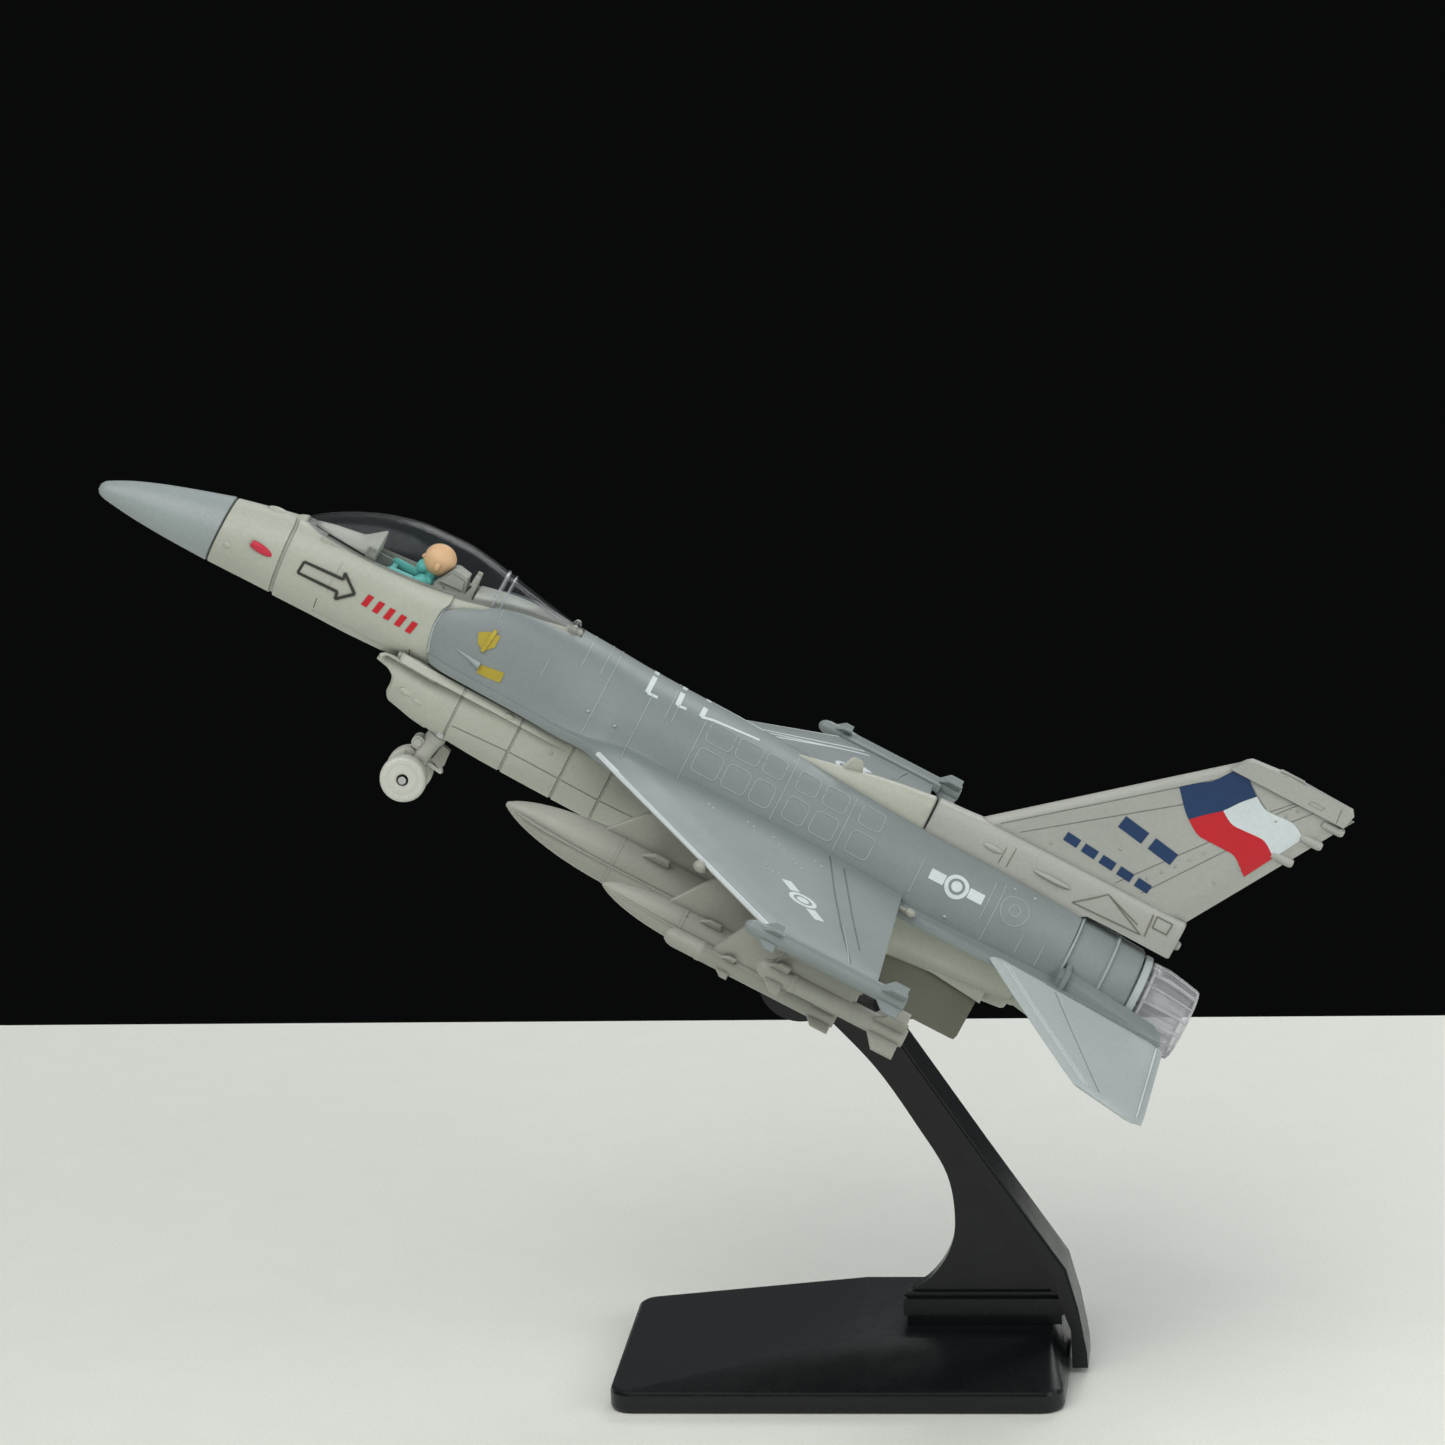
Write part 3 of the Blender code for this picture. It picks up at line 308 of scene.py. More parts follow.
def turned(profile, middle, axis, steps=36):
    """A closed (radius, height) profile turned round an axis."""
    turn = Vector((0, 0, 1)).rotation_difference(Vector(axis)).to_matrix()
    rings = []
    for a, b in circle(steps):
        rings.append(
            [Vector(middle) + turn @ Vector((radius * a, radius * b, height)) for radius, height in profile]
        )
    return loft(rings, closed=True)


def lathe(profile, middle, axis, steps=32):
    """A solid of revolution whose (radius, height) profile starts and ends near the axis."""
    turn = Vector((0, 0, 1)).rotation_difference(Vector(axis)).to_matrix()
    rings = []
    for radius, height in profile:
        reach = max(radius, 0.02)
        rings.append(
            [Vector(middle) + turn @ Vector((reach * a, reach * b, height)) for a, b in circle(steps)]
        )
    return loft(rings)


def together(shapes):
    """Several closed shapes in one bmesh."""
    whole = bmesh.new()
    for shape in shapes:
        mesh = bpy.data.meshes.new("part")
        bmesh.ops.recalc_face_normals(shape, faces=shape.faces)
        shape.to_mesh(mesh)
        shape.free()
        whole.from_mesh(mesh)
        bpy.data.meshes.remove(mesh)
    return whole


def boolean(shape, *steps):
    """Applies (operation, shape) steps with exact Booleans and returns the result."""
    made = []
    for other in (shape, *(step[1] for step in steps)):
        mesh = bpy.data.meshes.new("work")
        bmesh.ops.recalc_face_normals(other, faces=other.faces)
        other.to_mesh(mesh)
        other.free()
        work = bpy.data.objects.new("work", mesh)
        bpy.context.scene.collection.objects.link(work)
        made.append(work)
    for (operation, _), tool in zip(steps, made[1:]):
        step = made[0].modifiers.new("step", "BOOLEAN")
        step.operation = operation
        step.solver = "EXACT"
        step.object = tool
    depsgraph = bpy.context.evaluated_depsgraph_get()
    result = bmesh.new()
    result.from_mesh(made[0].evaluated_get(depsgraph).to_mesh())
    for work in made:
        mesh = work.data
        bpy.data.objects.remove(work)
        bpy.data.meshes.remove(mesh)
    return result


def join(shape, *others):
    return boolean(shape, *(("UNION", other) for other in others))


def cut(shape, *others):
    return boolean(shape, *(("DIFFERENCE", other) for other in others))


def smooth_table(rows):
    """A function of the first column that runs smoothly through every row without overshooting."""

    def change(k, c):
        return (rows[k + 1][c] - rows[k][c]) / (rows[k + 1][0] - rows[k][0])

    def slope(k, c):
        left = None if k == 0 else change(k - 1, c)
        right = None if k == len(rows) - 1 else change(k, c)
        if left is None or right is None:
            return left if right is None else right
        return 0.0 if left * right <= 0 else 2 * left * right / (left + right)

    def at(x):
        if x <= rows[0][0]:
            return rows[0][1:]
        if x >= rows[-1][0]:
            return rows[-1][1:]
        i = max(k for k in range(len(rows) - 1) if rows[k][0] <= x)
        span = rows[i + 1][0] - rows[i][0]
        t = (x - rows[i][0]) / span
        values = []
        for c in range(1, len(rows[0])):
            start, end = rows[i][c], rows[i + 1][c]
            lift = (2 * t**3 - 3 * t**2 + 1) * start + (3 * t**2 - 2 * t**3) * end
            bend = (t**3 - 2 * t**2 + t) * slope(i, c) + (t**3 - t**2) * slope(i + 1, c)
            values.append(lift + bend * span)
        return tuple(values)

    return at


def straight_table(rows):
    """A function of the first column made of straight pieces."""

    def at(x):
        x = min(max(x, rows[0][0]), rows[-1][0])
        i = max(k for k in range(len(rows) - 1) if rows[k][0] <= x)
        t = (x - rows[i][0]) / (rows[i + 1][0] - rows[i][0])
        return tuple(a + (b - a) * t for a, b in zip(rows[i][1:], rows[i + 1][1:]))

    return at


def smooth_path(points, per=6):
    """More points along a Catmull-Rom curve through some points."""
    path = []
    last = len(points) - 1
    for i in range(last):
        a, b = Vector(points[max(i - 1, 0)]), Vector(points[i])
        c, d = Vector(points[i + 1]), Vector(points[min(i + 2, last)])
        for k in range(per):
            t = k / per
            path.append(
                0.5 * (
                    2 * b + (c - a) * t + (2 * a - 5 * b + 4 * c - d) * t**2
                    + (3 * b - a - 3 * c + d) * t**3
                )
            )
    path.append(Vector(points[-1]))
    return path


def ease(t):
    t = min(1.0, max(0.0, t))
    return t * t * (3 - 2 * t)


def steps_between(start, end, size):
    """Evenly spaced values from start to end, no further apart than size."""
    count = max(1, int(abs(end - start) / size + 0.999))
    return [start + (end - start) * i / count for i in range(count + 1)]


def power_ring(x, half_width, top, bottom, power, count=48):
    """A ring across the body: a superellipse, round at power 2 and boxier above it."""
    middle, half_height = (top + bottom) / 2, (top - bottom) / 2
    points = []
    for i in range(count):
        angle = 2 * pi * (i + 0.5) / count
        across = copysign(abs(cos(angle)) ** (2 / power), cos(angle))
        up = copysign(abs(sin(angle)) ** (2 / power), sin(angle))
        points.append(Vector((x, half_width * across, middle + half_height * up)))
    return points


def half_ring(x, half_width, crown, edge, power, count=31):
    """Half of a superellipse standing on a flat edge; the crown may be above or below it."""
    points = []
    for i in range(count):
        angle = pi * i / (count - 1)
        across = copysign(abs(cos(angle)) ** (2 / power), cos(angle))
        points.append(Vector((x, half_width * across, edge + (crown - edge) * sin(angle) ** (2 / power))))
    return points


def side_plate(outline, near, far):
    """A side view outline of (x, z) points, filled between two distances across."""
    return loft([[Vector((x, near, z)) for x, z in outline], [Vector((x, far, z)) for x, z in outline]])


def plan_plate(outline, low, high):
    """A plan outline of (x, y) points, filled between two heights."""
    return loft([[Vector((x, y, low)) for x, y in outline], [Vector((x, y, high)) for x, y in outline]])


def flank_plate(outline, low, high, side):
    """A side view outline filled between two distances out on one side."""
    return side_plate(outline, *sorted((side * low, side * high)))


def flank_box(low, high, side):
    """A box on one side, its corners given for starboard."""
    near, far = sorted((side * low[1], side * high[1]))
    return box((low[0], near, low[2]), (high[0], far, high[2]))


def circle(count, closed=False):
    """Points round a unit circle, with the first one repeated when closed."""
    return [(cos(2 * pi * k / count), sin(2 * pi * k / count)) for k in range(count + closed)]


def divided(outline, size):
    """Places along an outline, about a size apart and no further from its corners."""
    spots = []
    for start, end in zip(outline, outline[1:]):
        count = max(1, int((Vector(end) - Vector(start)).length / size))
        spots += [Vector(start).lerp(Vector(end), i / count) for i in range(count)]
    return spots + [Vector(outline[-1])]


def on_side(spot, side):
    """A surface function of (a, b, side) as a function of (a, b) on one side."""
    return lambda a, b: spot(a, b, side)


def bead(points, outwards, width, height, sink=0.08):
    """A thin raised line along a path on a surface; outwards holds the surface's normals."""
    rings = []
    last = len(points) - 1
    for i, (point, out) in enumerate(zip(points, outwards)):
        ahead = (points[min(i + 1, last)] - points[max(i - 1, 0)]).normalized()
        across = ahead.cross(out).normalized() * (width / 2)
        top = point + out * height
        low = point - out * sink
        rings.append([low - across, top - across * 0.55, top + across * 0.55, low + across])
    return loft(rings)


def traced(spot, places, width, height, sink=0.08):
    """A raised line through some places on a two-parameter surface."""
    points = [spot(*place) for place in places]
    return bead(points, [normal_of(spot, *place) for place in places], width, height, sink)


def patch(grid, outwards, thickness=0.03, sink=0.12):
    """A thin inked sheet: a grid of surface points, closed by a copy sunk under the surface."""
    rows, columns = len(grid), len(grid[0])
    shape = bmesh.new()
    top = [[shape.verts.new(p + n * thickness) for p, n in zip(*pair)] for pair in zip(grid, outwards)]
    low = [[shape.verts.new(p - n * sink) for p, n in zip(*pair)] for pair in zip(grid, outwards)]
    for i in range(rows - 1):
        for j in range(columns - 1):
            shape.faces.new((top[i][j], top[i][j + 1], top[i + 1][j + 1], top[i + 1][j]))
            shape.faces.new((low[i][j], low[i + 1][j], low[i + 1][j + 1], low[i][j + 1]))
    rim = [(0, j) for j in range(columns)] + [(i, columns - 1) for i in range(1, rows)]
    rim += [(rows - 1, j) for j in range(columns - 2, -1, -1)] + [(i, 0) for i in range(rows - 2, 0, -1)]
    for (a, b), (c, d) in zip(rim, rim[1:] + rim[:1]):
        shape.faces.new((top[a][b], low[a][b], low[c][d], top[c][d]))
    return shape


# ---------------------------------------------------------------- stand
BASE_LENGTH, BASE_DEPTH, BASE_EDGE, BASE_CROWN = 77.6, 48.8, 4.1, 8.4
BASE_CORNER = 4.0


def base_rim(height, inset):
    """A rounded rectangle of points at one height."""
    points = []
    for x_sign, y_sign, first in ((1, 1, 0), (-1, 1, 90), (-1, -1, 180), (1, -1, 270)):
        centre_x = x_sign * (BASE_LENGTH / 2 - BASE_CORNER)
        centre_y = y_sign * (BASE_DEPTH / 2 - BASE_CORNER)
        for step in range(7):
            angle = radians(first + 15 * step)
            reach = BASE_CORNER - inset
            points.append(Vector((centre_x + reach * cos(angle), centre_y + reach * sin(angle), height)))
    return points


def make_base():
    """A wedge-topped block with a soft rim, sloping to a raised flat, and the arm's slot."""
    shape = bmesh.new()
    points = []
    for height, inset in (
        (0.0, 0.7), (0.25, 0.2), (0.8, 0.0), (BASE_EDGE - 0.9, 0.0), (BASE_EDGE - 0.3, 0.2),
        (BASE_EDGE, 0.7)
    ):
        points += base_rim(height, inset)
    points += [
        Vector((x, y, BASE_CROWN)) for x, y in ((2.0, -9.5), (36.0, -9.5), (36.8, 21.5), (2.0, 21.5))
    ]
    hull = bmesh.ops.convex_hull(shape, input=[shape.verts.new(point) for point in points])
    bmesh.ops.delete(
        shape, geom=[v for v in hull["geom_interior"] if isinstance(v, bmesh.types.BMVert)], context="VERTS"
    )
    bmesh.ops.dissolve_limit(shape, angle_limit=radians(1.5), verts=shape.verts, edges=shape.edges)
    shape = cut(shape, box((12.05, -2.75, 4.2), (36.35, 2.75, 14.0)))
    piece("stand_base", shape, BLACK, "stand", ["base_plate"], STAND, crease=16, bevel=0.25)


def make_arm():
    """The swept arm: thin web, a thicker band along the wide rear flange, foot and forked round head."""
    front = smooth_path(
        [
            (10.4, 13.2), (15.2, 16.6), (18.5, 21.4), (19.6, 27.2), (18.4, 35.3), (13.7, 43.8), (6.8, 54.4),
            (-1.4, 63.6)
        ]
    )
    web = [tuple(p) for p in front] + [
        (-6.0, 65.2), (0.5, 67.5), (6.4, 66.0), (24.0, 39.0), (37.5, 18.0), (38.0, 10.8), (10.4, 10.8)
    ]
    outer = [(42.0, 1.2), (41.9, 4.0), (40.6, 11.8), (38.7, 19.1), (25.0, 39.6), (11.9, 59.6), (7.0, 66.3)]
    flange = outer + [
        (1.0, 68.0), (-1.5, 65.0), (9.0, 59.0), (22.6, 38.2), (36.2, 17.8), (38.0, 11.4), (39.2, 8.0),
        (39.3, 1.2)
    ]
    band = [
        (36.6, 13.0), (34.4, 17.0), (20.8, 37.2), (6.9, 58.4), (2.0, 63.0), (9.0, 61.0), (24.0, 39.0),
        (37.5, 18.0), (38.4, 13.0)
    ]
    rim = [
        (41.6, 6.0), (40.3, 12.0), (38.3, 19.0), (24.6, 39.4), (11.6, 59.3), (10.4, 58.5), (23.4, 38.6),
        (37.0, 18.4), (39.0, 11.6), (40.4, 5.8)
    ]
    arm = side_plate([tuple(p) for p in web], -1.6, 1.6)
    lug = rod(PIVOT_WORLD / MM, (0, 1, 0), 7.2, 9.2, 64)
    arm = join(
        arm, side_plate(band, -2.3, 2.3), side_plate(flange, -5.0, 5.0), side_plate(rim, -5.35, 5.35), lug
    )
    foot = box((10.4, -3.6, 10.3), (38.0, 3.6, 13.2))
    ledge = box((10.9, -2.4, 12.8), (38.0, 2.4, 14.1))
    arm = join(
        arm, foot, ledge, box((11.0, -3.1, 8.43), (37.6, 3.1, 10.9)),
        box((12.4, -2.4, 4.6), (36.0, 2.4, 11.5))
    )
    fork_half = 2.2
    centre = PIVOT_WORLD / MM
    arm = cut(
        arm, rod(centre, (0, 1, 0), 5.0, 2 * fork_half, 48),
        box(centre + Vector((-9, -fork_half, -0.2)), centre + Vector((9, fork_half, 9))),
        rod(centre, (0, 1, 0), 1.3, 12.0, 24),
    )
    piece("stand_swept_arm", arm, BLACK, "stand", ["stand_arm"], STAND, crease=30, bevel=0.28)


# ---------------------------------------------------------------- the upper shell's surface
DOME = smooth_table([
    (61.4, 8.4, 9.7, 3.7), (65.0, 8.7, 11.0, 4.0), (70.0, 9.0, 12.2, 4.0), (76.0, 9.4, 12.6, 3.7),
    (82.0, 9.75, 12.4, 3.0),
    (87.0, 9.9, 12.3, 2.7), (98.0, 11.0, 11.6, 2.6), (118.0, 12.2, 11.0, 2.6), (135.0, 12.2, 10.6, 2.6),
    (150.0, 11.4, 10.2, 2.6), (165.0, 10.6, 9.9, 2.6), (180.0, 9.3, 9.2, 2.5), (182.0, 9.1, 9.0, 2.5),
])
FLARE = smooth_table(
    [(61.0, 1.0), (74.0, 1.0), (82.0, 0.86), (90.0, 0.55), (96.0, 0.28), (104.0, 0.08), (112.0, 0.0)]
)
SHOULDER_Z = 8.0
STRAKE = smooth_table(
    [(61.0, 8.6), (64.0, 9.9), (72.0, 10.7), (82.0, 11.8), (90.0, 13.6), (93.6, 15.6), (95.5, 18.6)]
)
SHELF = smooth_table([(152.0, 15.2), (182.0, 15.1), (201.0, 15.0)])
ROOT_Y, ROOT_FRONT_X, TIP_FRONT_X = 18.6, 95.5, 133.1
FRONT_EDGE = smooth_table(
    [(-2.4, 63.6), (-0.6, 62.5), (1.6, 61.8), (4.2, 61.4), (6.7, 61.6), (8.6, 62.9), (10.2, 65.4)]
)
FRONT_X, BLEND_LENGTH = 61.4, 9.0
SWEEP = (TIP_FRONT_X - ROOT_FRONT_X) / (HALF_SPAN - ROOT_Y)
WING_RADIUS = 3.6
EDGE_HALF = 0.42
TURNS_PER_MM = 5.4


def planform(x):
    """How far out the grey shell reaches at x."""
    if x <= ROOT_FRONT_X:
        return STRAKE(x)[0]
    if x <= TIP_FRONT_X:
        return ROOT_Y + (x - ROOT_FRONT_X) / SWEEP
    return HALF_SPAN if x <= WING_REAR_X else SHELF(x)[0]


def wing_faces(x, y):
    """Top and bottom heights of the strake, wing or shelf at (x, y)."""
    y = abs(y)
    rise = ease((x - 86.0) / 16.0) if x <= WING_REAR_X else 0.0
    middle = -1.6 + 1.6 * rise
    full = 0.8 + 0.65 * rise - 0.7 * ease((y - ROOT_Y) / (HALF_SPAN - ROOT_Y)) * rise
    reach = planform(x) - y
    if x > ROOT_FRONT_X and y > ROOT_Y and x <= WING_REAR_X:
        reach = min(reach, (x - ROOT_FRONT_X - (y - ROOT_Y) * SWEEP) * 0.75)
    tapered = EDGE_HALF + (full - EDGE_HALF) * ease(reach / 7.0)
    half = full + (tapered - full) * rise
    if rise > 0:
        half = min(half, 0.34 + max(0.0, WING_REAR_X - x) * 0.07)
    return middle + half, middle - half


def flare(x, z):
    """How much the front of the shell spreads towards the strake's edge at a height."""
    spread = max(0.0, min(planform(x), ROOT_Y) - EDGE_HALF - 0.1 - DOME(x)[0]) * FLARE(x)[0]
    return spread * min(1.0, max(0.0, (SHOULDER_Z - z) / (SHOULDER_Z - SPLIT_Z)))


def fillet(x):
    """The width over which the dome runs into the wing."""
    return WING_RADIUS * (1 - 0.88 * FLARE(x)[0]) if x < WING_REAR_X else 1.2


def blend(a, b, width):
    """The larger of two heights, rounded where they are close."""
    gap = max(0.0, 1 - abs(a - b) / width)
    return max(a, b) + width / 4 * gap * gap


def dome_spot(x, turn, side=-1):
    """A point on the upper shell by its turn from the crown in degrees, 90 being the side."""
    half, crown, power = DOME(x)
    angle = radians(turn)
    y = half * sin(angle) ** (2 / power)
    z = SPLIT_Z + (crown - SPLIT_Z) * cos(angle) ** (2 / power) if turn < 90 else SPLIT_Z
    y += flare(x, z)
    return Vector((x, side * y, blend(z, wing_faces(x, y)[0], fillet(x))))


def side_spot(x, z, side=-1):
    """A point on the upper shell's side at a height."""
    low, high = 0.0, 90.0
    for _ in range(24):
        turn = (low + high) / 2
        if dome_spot(x, turn, side).z > z:
            low = turn
        else:
            high = turn
    return dome_spot(x, low, side)


def wing_spot(x, y):
    """A point on top of the wing outside the body."""
    half = DOME(x)[0] + flare(x, SPLIT_Z)
    z = blend(SPLIT_Z - (abs(y) - half) * 3.0, wing_faces(x, y)[0], fillet(x))
    return Vector((x, y, z))


def normal_of(spot, a, b):
    """The outward normal of a two-parameter surface."""
    step = 0.4
    along = spot(a + step, b) - spot(a - step, b)
    across = spot(a, b + step) - spot(a, b - step)
    out = along.cross(across).normalized()
    centre = Vector((spot(a, b).x, 0.0, -3.0))
    return out if out.dot(spot(a, b) - centre) > 0 else -out


def shell_ring(x):
    """One closed ring of the upper shell: dome, fillet, wing top, rounded rim and underside."""
    half = DOME(x)[0] + flare(x, SPLIT_Z)
    edge = planform(x)
    top = [dome_spot(x, 90 * i / 20, 1) for i in range(21)]
    outer = [wing_spot(x, half + (edge - EDGE_HALF - half) * (j / 16) ** 1.5) for j in range(1, 17)]
    z_top, z_low = wing_faces(x, edge)
    tip = [
        Vector((x, edge - 0.12, z_top - 0.12)), Vector((x, edge, (z_top + z_low) / 2)),
        Vector((x, edge - 0.12, z_low + 0.12))
    ]
    low = []
    for j in range(8):
        y = edge - EDGE_HALF - (edge - EDGE_HALF - half - 0.05) * j / 7
        low.append(Vector((x, y, wing_faces(x, y)[1])))
    low.append(Vector((x, half - 0.1, min(SPLIT_Z, low[-1].z) - 0.02)))
    right = top + outer + tip + low
    left = [Vector((p.x, -p.y, p.z)) for p in reversed(right[1:])]
    ring = right + left
    shift = 1 - ease((x - FRONT_X) / BLEND_LENGTH)
    for point in ring:
        point.x += (FRONT_EDGE(point.z)[0] - FRONT_X) * shift
    return ring


def barrel():
    """The round tail barrel with two raised joints, and its hollow."""
    def ring(x, grow=0.0):
        t = (x - 177.2) / 16.6
        return power_ring(x, 9.1 - 0.9 * t + grow, 8.9 - 1.0 * t + grow, -9.3 + 0.8 * t - grow, 2.0, 56)
    rings = [ring(177.2)]
    for x, high in ((181.6, 0.42), (188.6, 0.3)):
        rings += [ring(x - 0.55), ring(x - 0.28, high), ring(x + 0.28, high), ring(x + 0.55)]
    return loft(rings + [ring(193.3), ring(193.8, -0.35)])


def make_upper_shell():
    """Body, strakes, both wings, rear shelves and the tail barrel, in one casting."""
    stations = steps_between(FRONT_X, ROOT_FRONT_X, 1.4) + steps_between(
        ROOT_FRONT_X + 0.4, TIP_FRONT_X, 1.5
    )
    stations += steps_between(
        TIP_FRONT_X + 0.05, WING_REAR_X - 0.5, 1.6
    ) + [WING_REAR_X, WING_REAR_X + 0.02]
    stations += steps_between(WING_REAR_X + 1.2, 181.2, 1.6)
    shell = loft([shell_ring(x) for x in stations])
    parts = [barrel()]
    for _, side in SIDES:
        shelf = [(180.0, 15.1), (201.6, 15.0), (201.6, 9.3), (180.0, 8.0)]
        parts.append(plan_plate([(x, side * y) for x, y in shelf], SPLIT_Z, SPLIT_Z + 1.6))
        bump = []
        for x, top, outer, low in (
            (181.4, 1.3, 13.2, -1.2), (182.2, 1.5, 13.2, -1.2), (200.0, -0.5, 14.1, -2.9),
            (200.7, -1.0, 13.9, -3.0)
        ):
            ring = [
                (8.4, low), (outer - 0.2, low), (outer, low + 0.3), (outer - 0.3, top - 0.6),
                (outer - 1.2, top), (8.4, top)
            ]
            bump.append([Vector((x, side * y, z)) for y, z in ring])
        parts.append(loft(bump))
        parts.append(flank_box((182.2, 8.2, -1.6), (183.0, 14.0, 2.4), side))
    shell = join(shell, *parts)
    shell = cut(
        shell, rod((192.0, 0, -0.3), (1, 0, 0), 7.3, 26.0, 56), plan_plate(deck_outline(0.07), 6.0, 20.0)
    )
    shell = cut(shell, box((55, -5.2, 3.0), (66.6, 5.2, 21)))
    piece("upper_shell_casting", shell, GREY, stands_for=["upper_shell"], crease=42)


def deck_outline(grow):
    """The plan of the khaki deck behind the cockpit."""
    half = [
        (59.0, 7.75), (62.0, 7.4), (64.0, 7.1), (66.0, 6.85), (68.0, 6.6), (72.0, 5.8), (76.0, 4.8),
        (80.0, 3.6), (84.2, 2.6)
    ]
    outline = [(x, y + grow) for x, y in half]
    outline[-1] = (84.2 + grow, outline[-1][1])
    return outline + [(x, -y) for x, y in reversed(outline)]


def front_spot(turn, side):
    """A point on the rim of the shell's curved front edge."""
    point = dome_spot(FRONT_X + 0.05, turn, side)
    point.x += FRONT_EDGE(point.z)[0] - FRONT_X
    return point


def dome_path(places, side, width=0.24, height=0.09):
    """A raised line through (x, turn) places on the dome."""
    return traced(on_side(dome_spot, side), places, width, height)


def ring_line(x, start, end, side=-1):
    """A raised line round the dome at x, between two turns from the crown."""
    return dome_path([(x, turn) for turn in steps_between(start, end, 5.0)], side, 0.26, 0.1)


def rounded_frame(front, rear, low, high, side):
    """A raised rounded rectangle on the dome, from turn low to turn high."""
    corner = 0.9
    places = []
    for x, turn, first in ((rear, low, 270), (rear, high, 0), (front, high, 90), (front, low, 180)):
        centre_x = x + (corner if x == front else -corner)
        centre_turn = turn + (corner if turn == low else -corner) * TURNS_PER_MM
        for step in range(5):
            angle = radians(first + 22.5 * step)
            places.append(
                (centre_x + corner * cos(angle), centre_turn + corner * TURNS_PER_MM * sin(angle))
            )
    places.append(places[0])
    return dome_path(places, side)


def wing_line(start, end, width=0.26, height=0.1):
    """A raised line across the wing between two (x, y) places."""
    count = max(2, int((Vector(end) - Vector(start)).length / 1.5))
    spots = [Vector(start).lerp(Vector(end), i / count) for i in range(count + 1)]
    return traced(wing_spot, spots, width, height)


def make_panel_lines():
    """Raised panel lines of the upper shell, the same on both sides; most are a lighter grey as a painted
    highlight.
    """
    lines = []
    rounds = [
        (70.6, 30, 44), (81.2, 54, 70), (86.5, 4, 44), (89.9, 5, 41), (91.7, 2, 88), (99.4, 30, 89),
        (102.9, 4, 46),
        (104.2, 24, 46), (109.4, 23, 89), (152.6, 44, 78), (165.3, 31, 72), (167.0, 27, 88), (126.3, 4, 84),
        (138.0, 19, 80),
        (173.2, 66, 82), (177.2, 66, 86),
    ]
    for x, start, end in rounds:
        lines += [ring_line(x, start, end, side) for _, side in SIDES]
    for _, side in SIDES:
        turns = steps_between(33, 89, 1.0)
        outs = [normal_of(on_side(dome_spot, side), FRONT_X + 0.5, turn) for turn in turns]
        lines.append(bead([front_spot(turn, side) for turn in turns], outs, 0.6, 0.12, 0.4))
    frames = [
        (110.5, 115.2), (116.1, 120.4), (121.3, 125.1), (127.6, 131.5), (132.7, 137.0), (139.6, 143.8)
    ]
    for front, rear in frames:
        for low, high in ((21, 45), (52, 74)):
            lines += [rounded_frame(front, rear, low, high, side) for _, side in SIDES]
    for _, side in SIDES:
        for radius in (2.5, 1.0):
            ring = [(170.1 + radius * a, 50 + radius * 6.0 * b) for a, b in circle(24, closed=True)]
            lines.append(dome_path(ring, side))
        lines.append(wing_line((99.4, side * 11.4), (99.4, side * 18.0)))
        lines.append(wing_line((109.4, side * 12.2), (109.4, side * 15.0)))
        lines.append(wing_line((143.8, side * 45.1), (146.6, side * 60.6), 0.3, 0.12))
    # Bright rings round the barrel joints: painted highlight.
    for x, radius in ((181.6, 9.28), (188.6, 8.78)):
        around = circle(60, closed=True)
        path = [Vector((x, radius * a, radius * b - 0.12)) for a, b in around]
        lines.append(bead(path, [Vector((0, a, b)) for a, b in around], 0.42, 0.1))
    piece("panel_lines", together(lines), GREY_HIGHLIGHT, crease=60)
    hinges = []
    for _, side in SIDES:
        for path in (
            ((138.1, 13.6), (140.9, 31.7), (143.8, 47.3), (146.9, 60.5)),
            ((141.0, 15.4), (142.7, 25.3), (145.0, 38.6), (147.6, 52.0))
        ):
            for start, end in zip(path, path[1:]):
                hinges.append(wing_line((start[0], side * start[1]), (end[0], side * end[1]), 0.5, 0.05))
    piece("wing_hinge_lines", together(hinges), SHADE_GREY, crease=60)


def make_leading_edges():
    """The bright bead along each wing's front edge, a painted highlight."""
    beads = []
    for _, side in SIDES:
        path = [(95.6, 18.6), (114.0, 39.8), (TIP_FRONT_X - 0.2, HALF_SPAN - 0.2)]
        points = [Vector((x, side * y, 0.05)) for x, y in path]
        outs = [Vector((-0.7, side * 0.7, 0.35)).normalized()] * len(points)
        beads.append(bead(points, outs, 1.0, 0.2, 0.3))
    piece("wing_front_beads", together(beads), EDGE_HIGHLIGHT, crease=60)
    knobs = []
    for _, side in SIDES:
        knobs.append(ball((118.9, side * 46.0, -0.9), (1.3, 1.2, 1.0), 24, 14))
        knobs += [
            ball((x, side * y, -0.35), (0.95, 0.8, 0.75), 20, 12) for x, y in ((150.9, 15.5), (154.3, 15.9))
        ]
        knobs.append(rod((152.6, side * 15.5, -0.5), (3.4, side * 0.4, 0), 0.4, 3.4, 20))
    piece("wing_knobs", together(knobs), SHADED_KHAKI, crease=50)


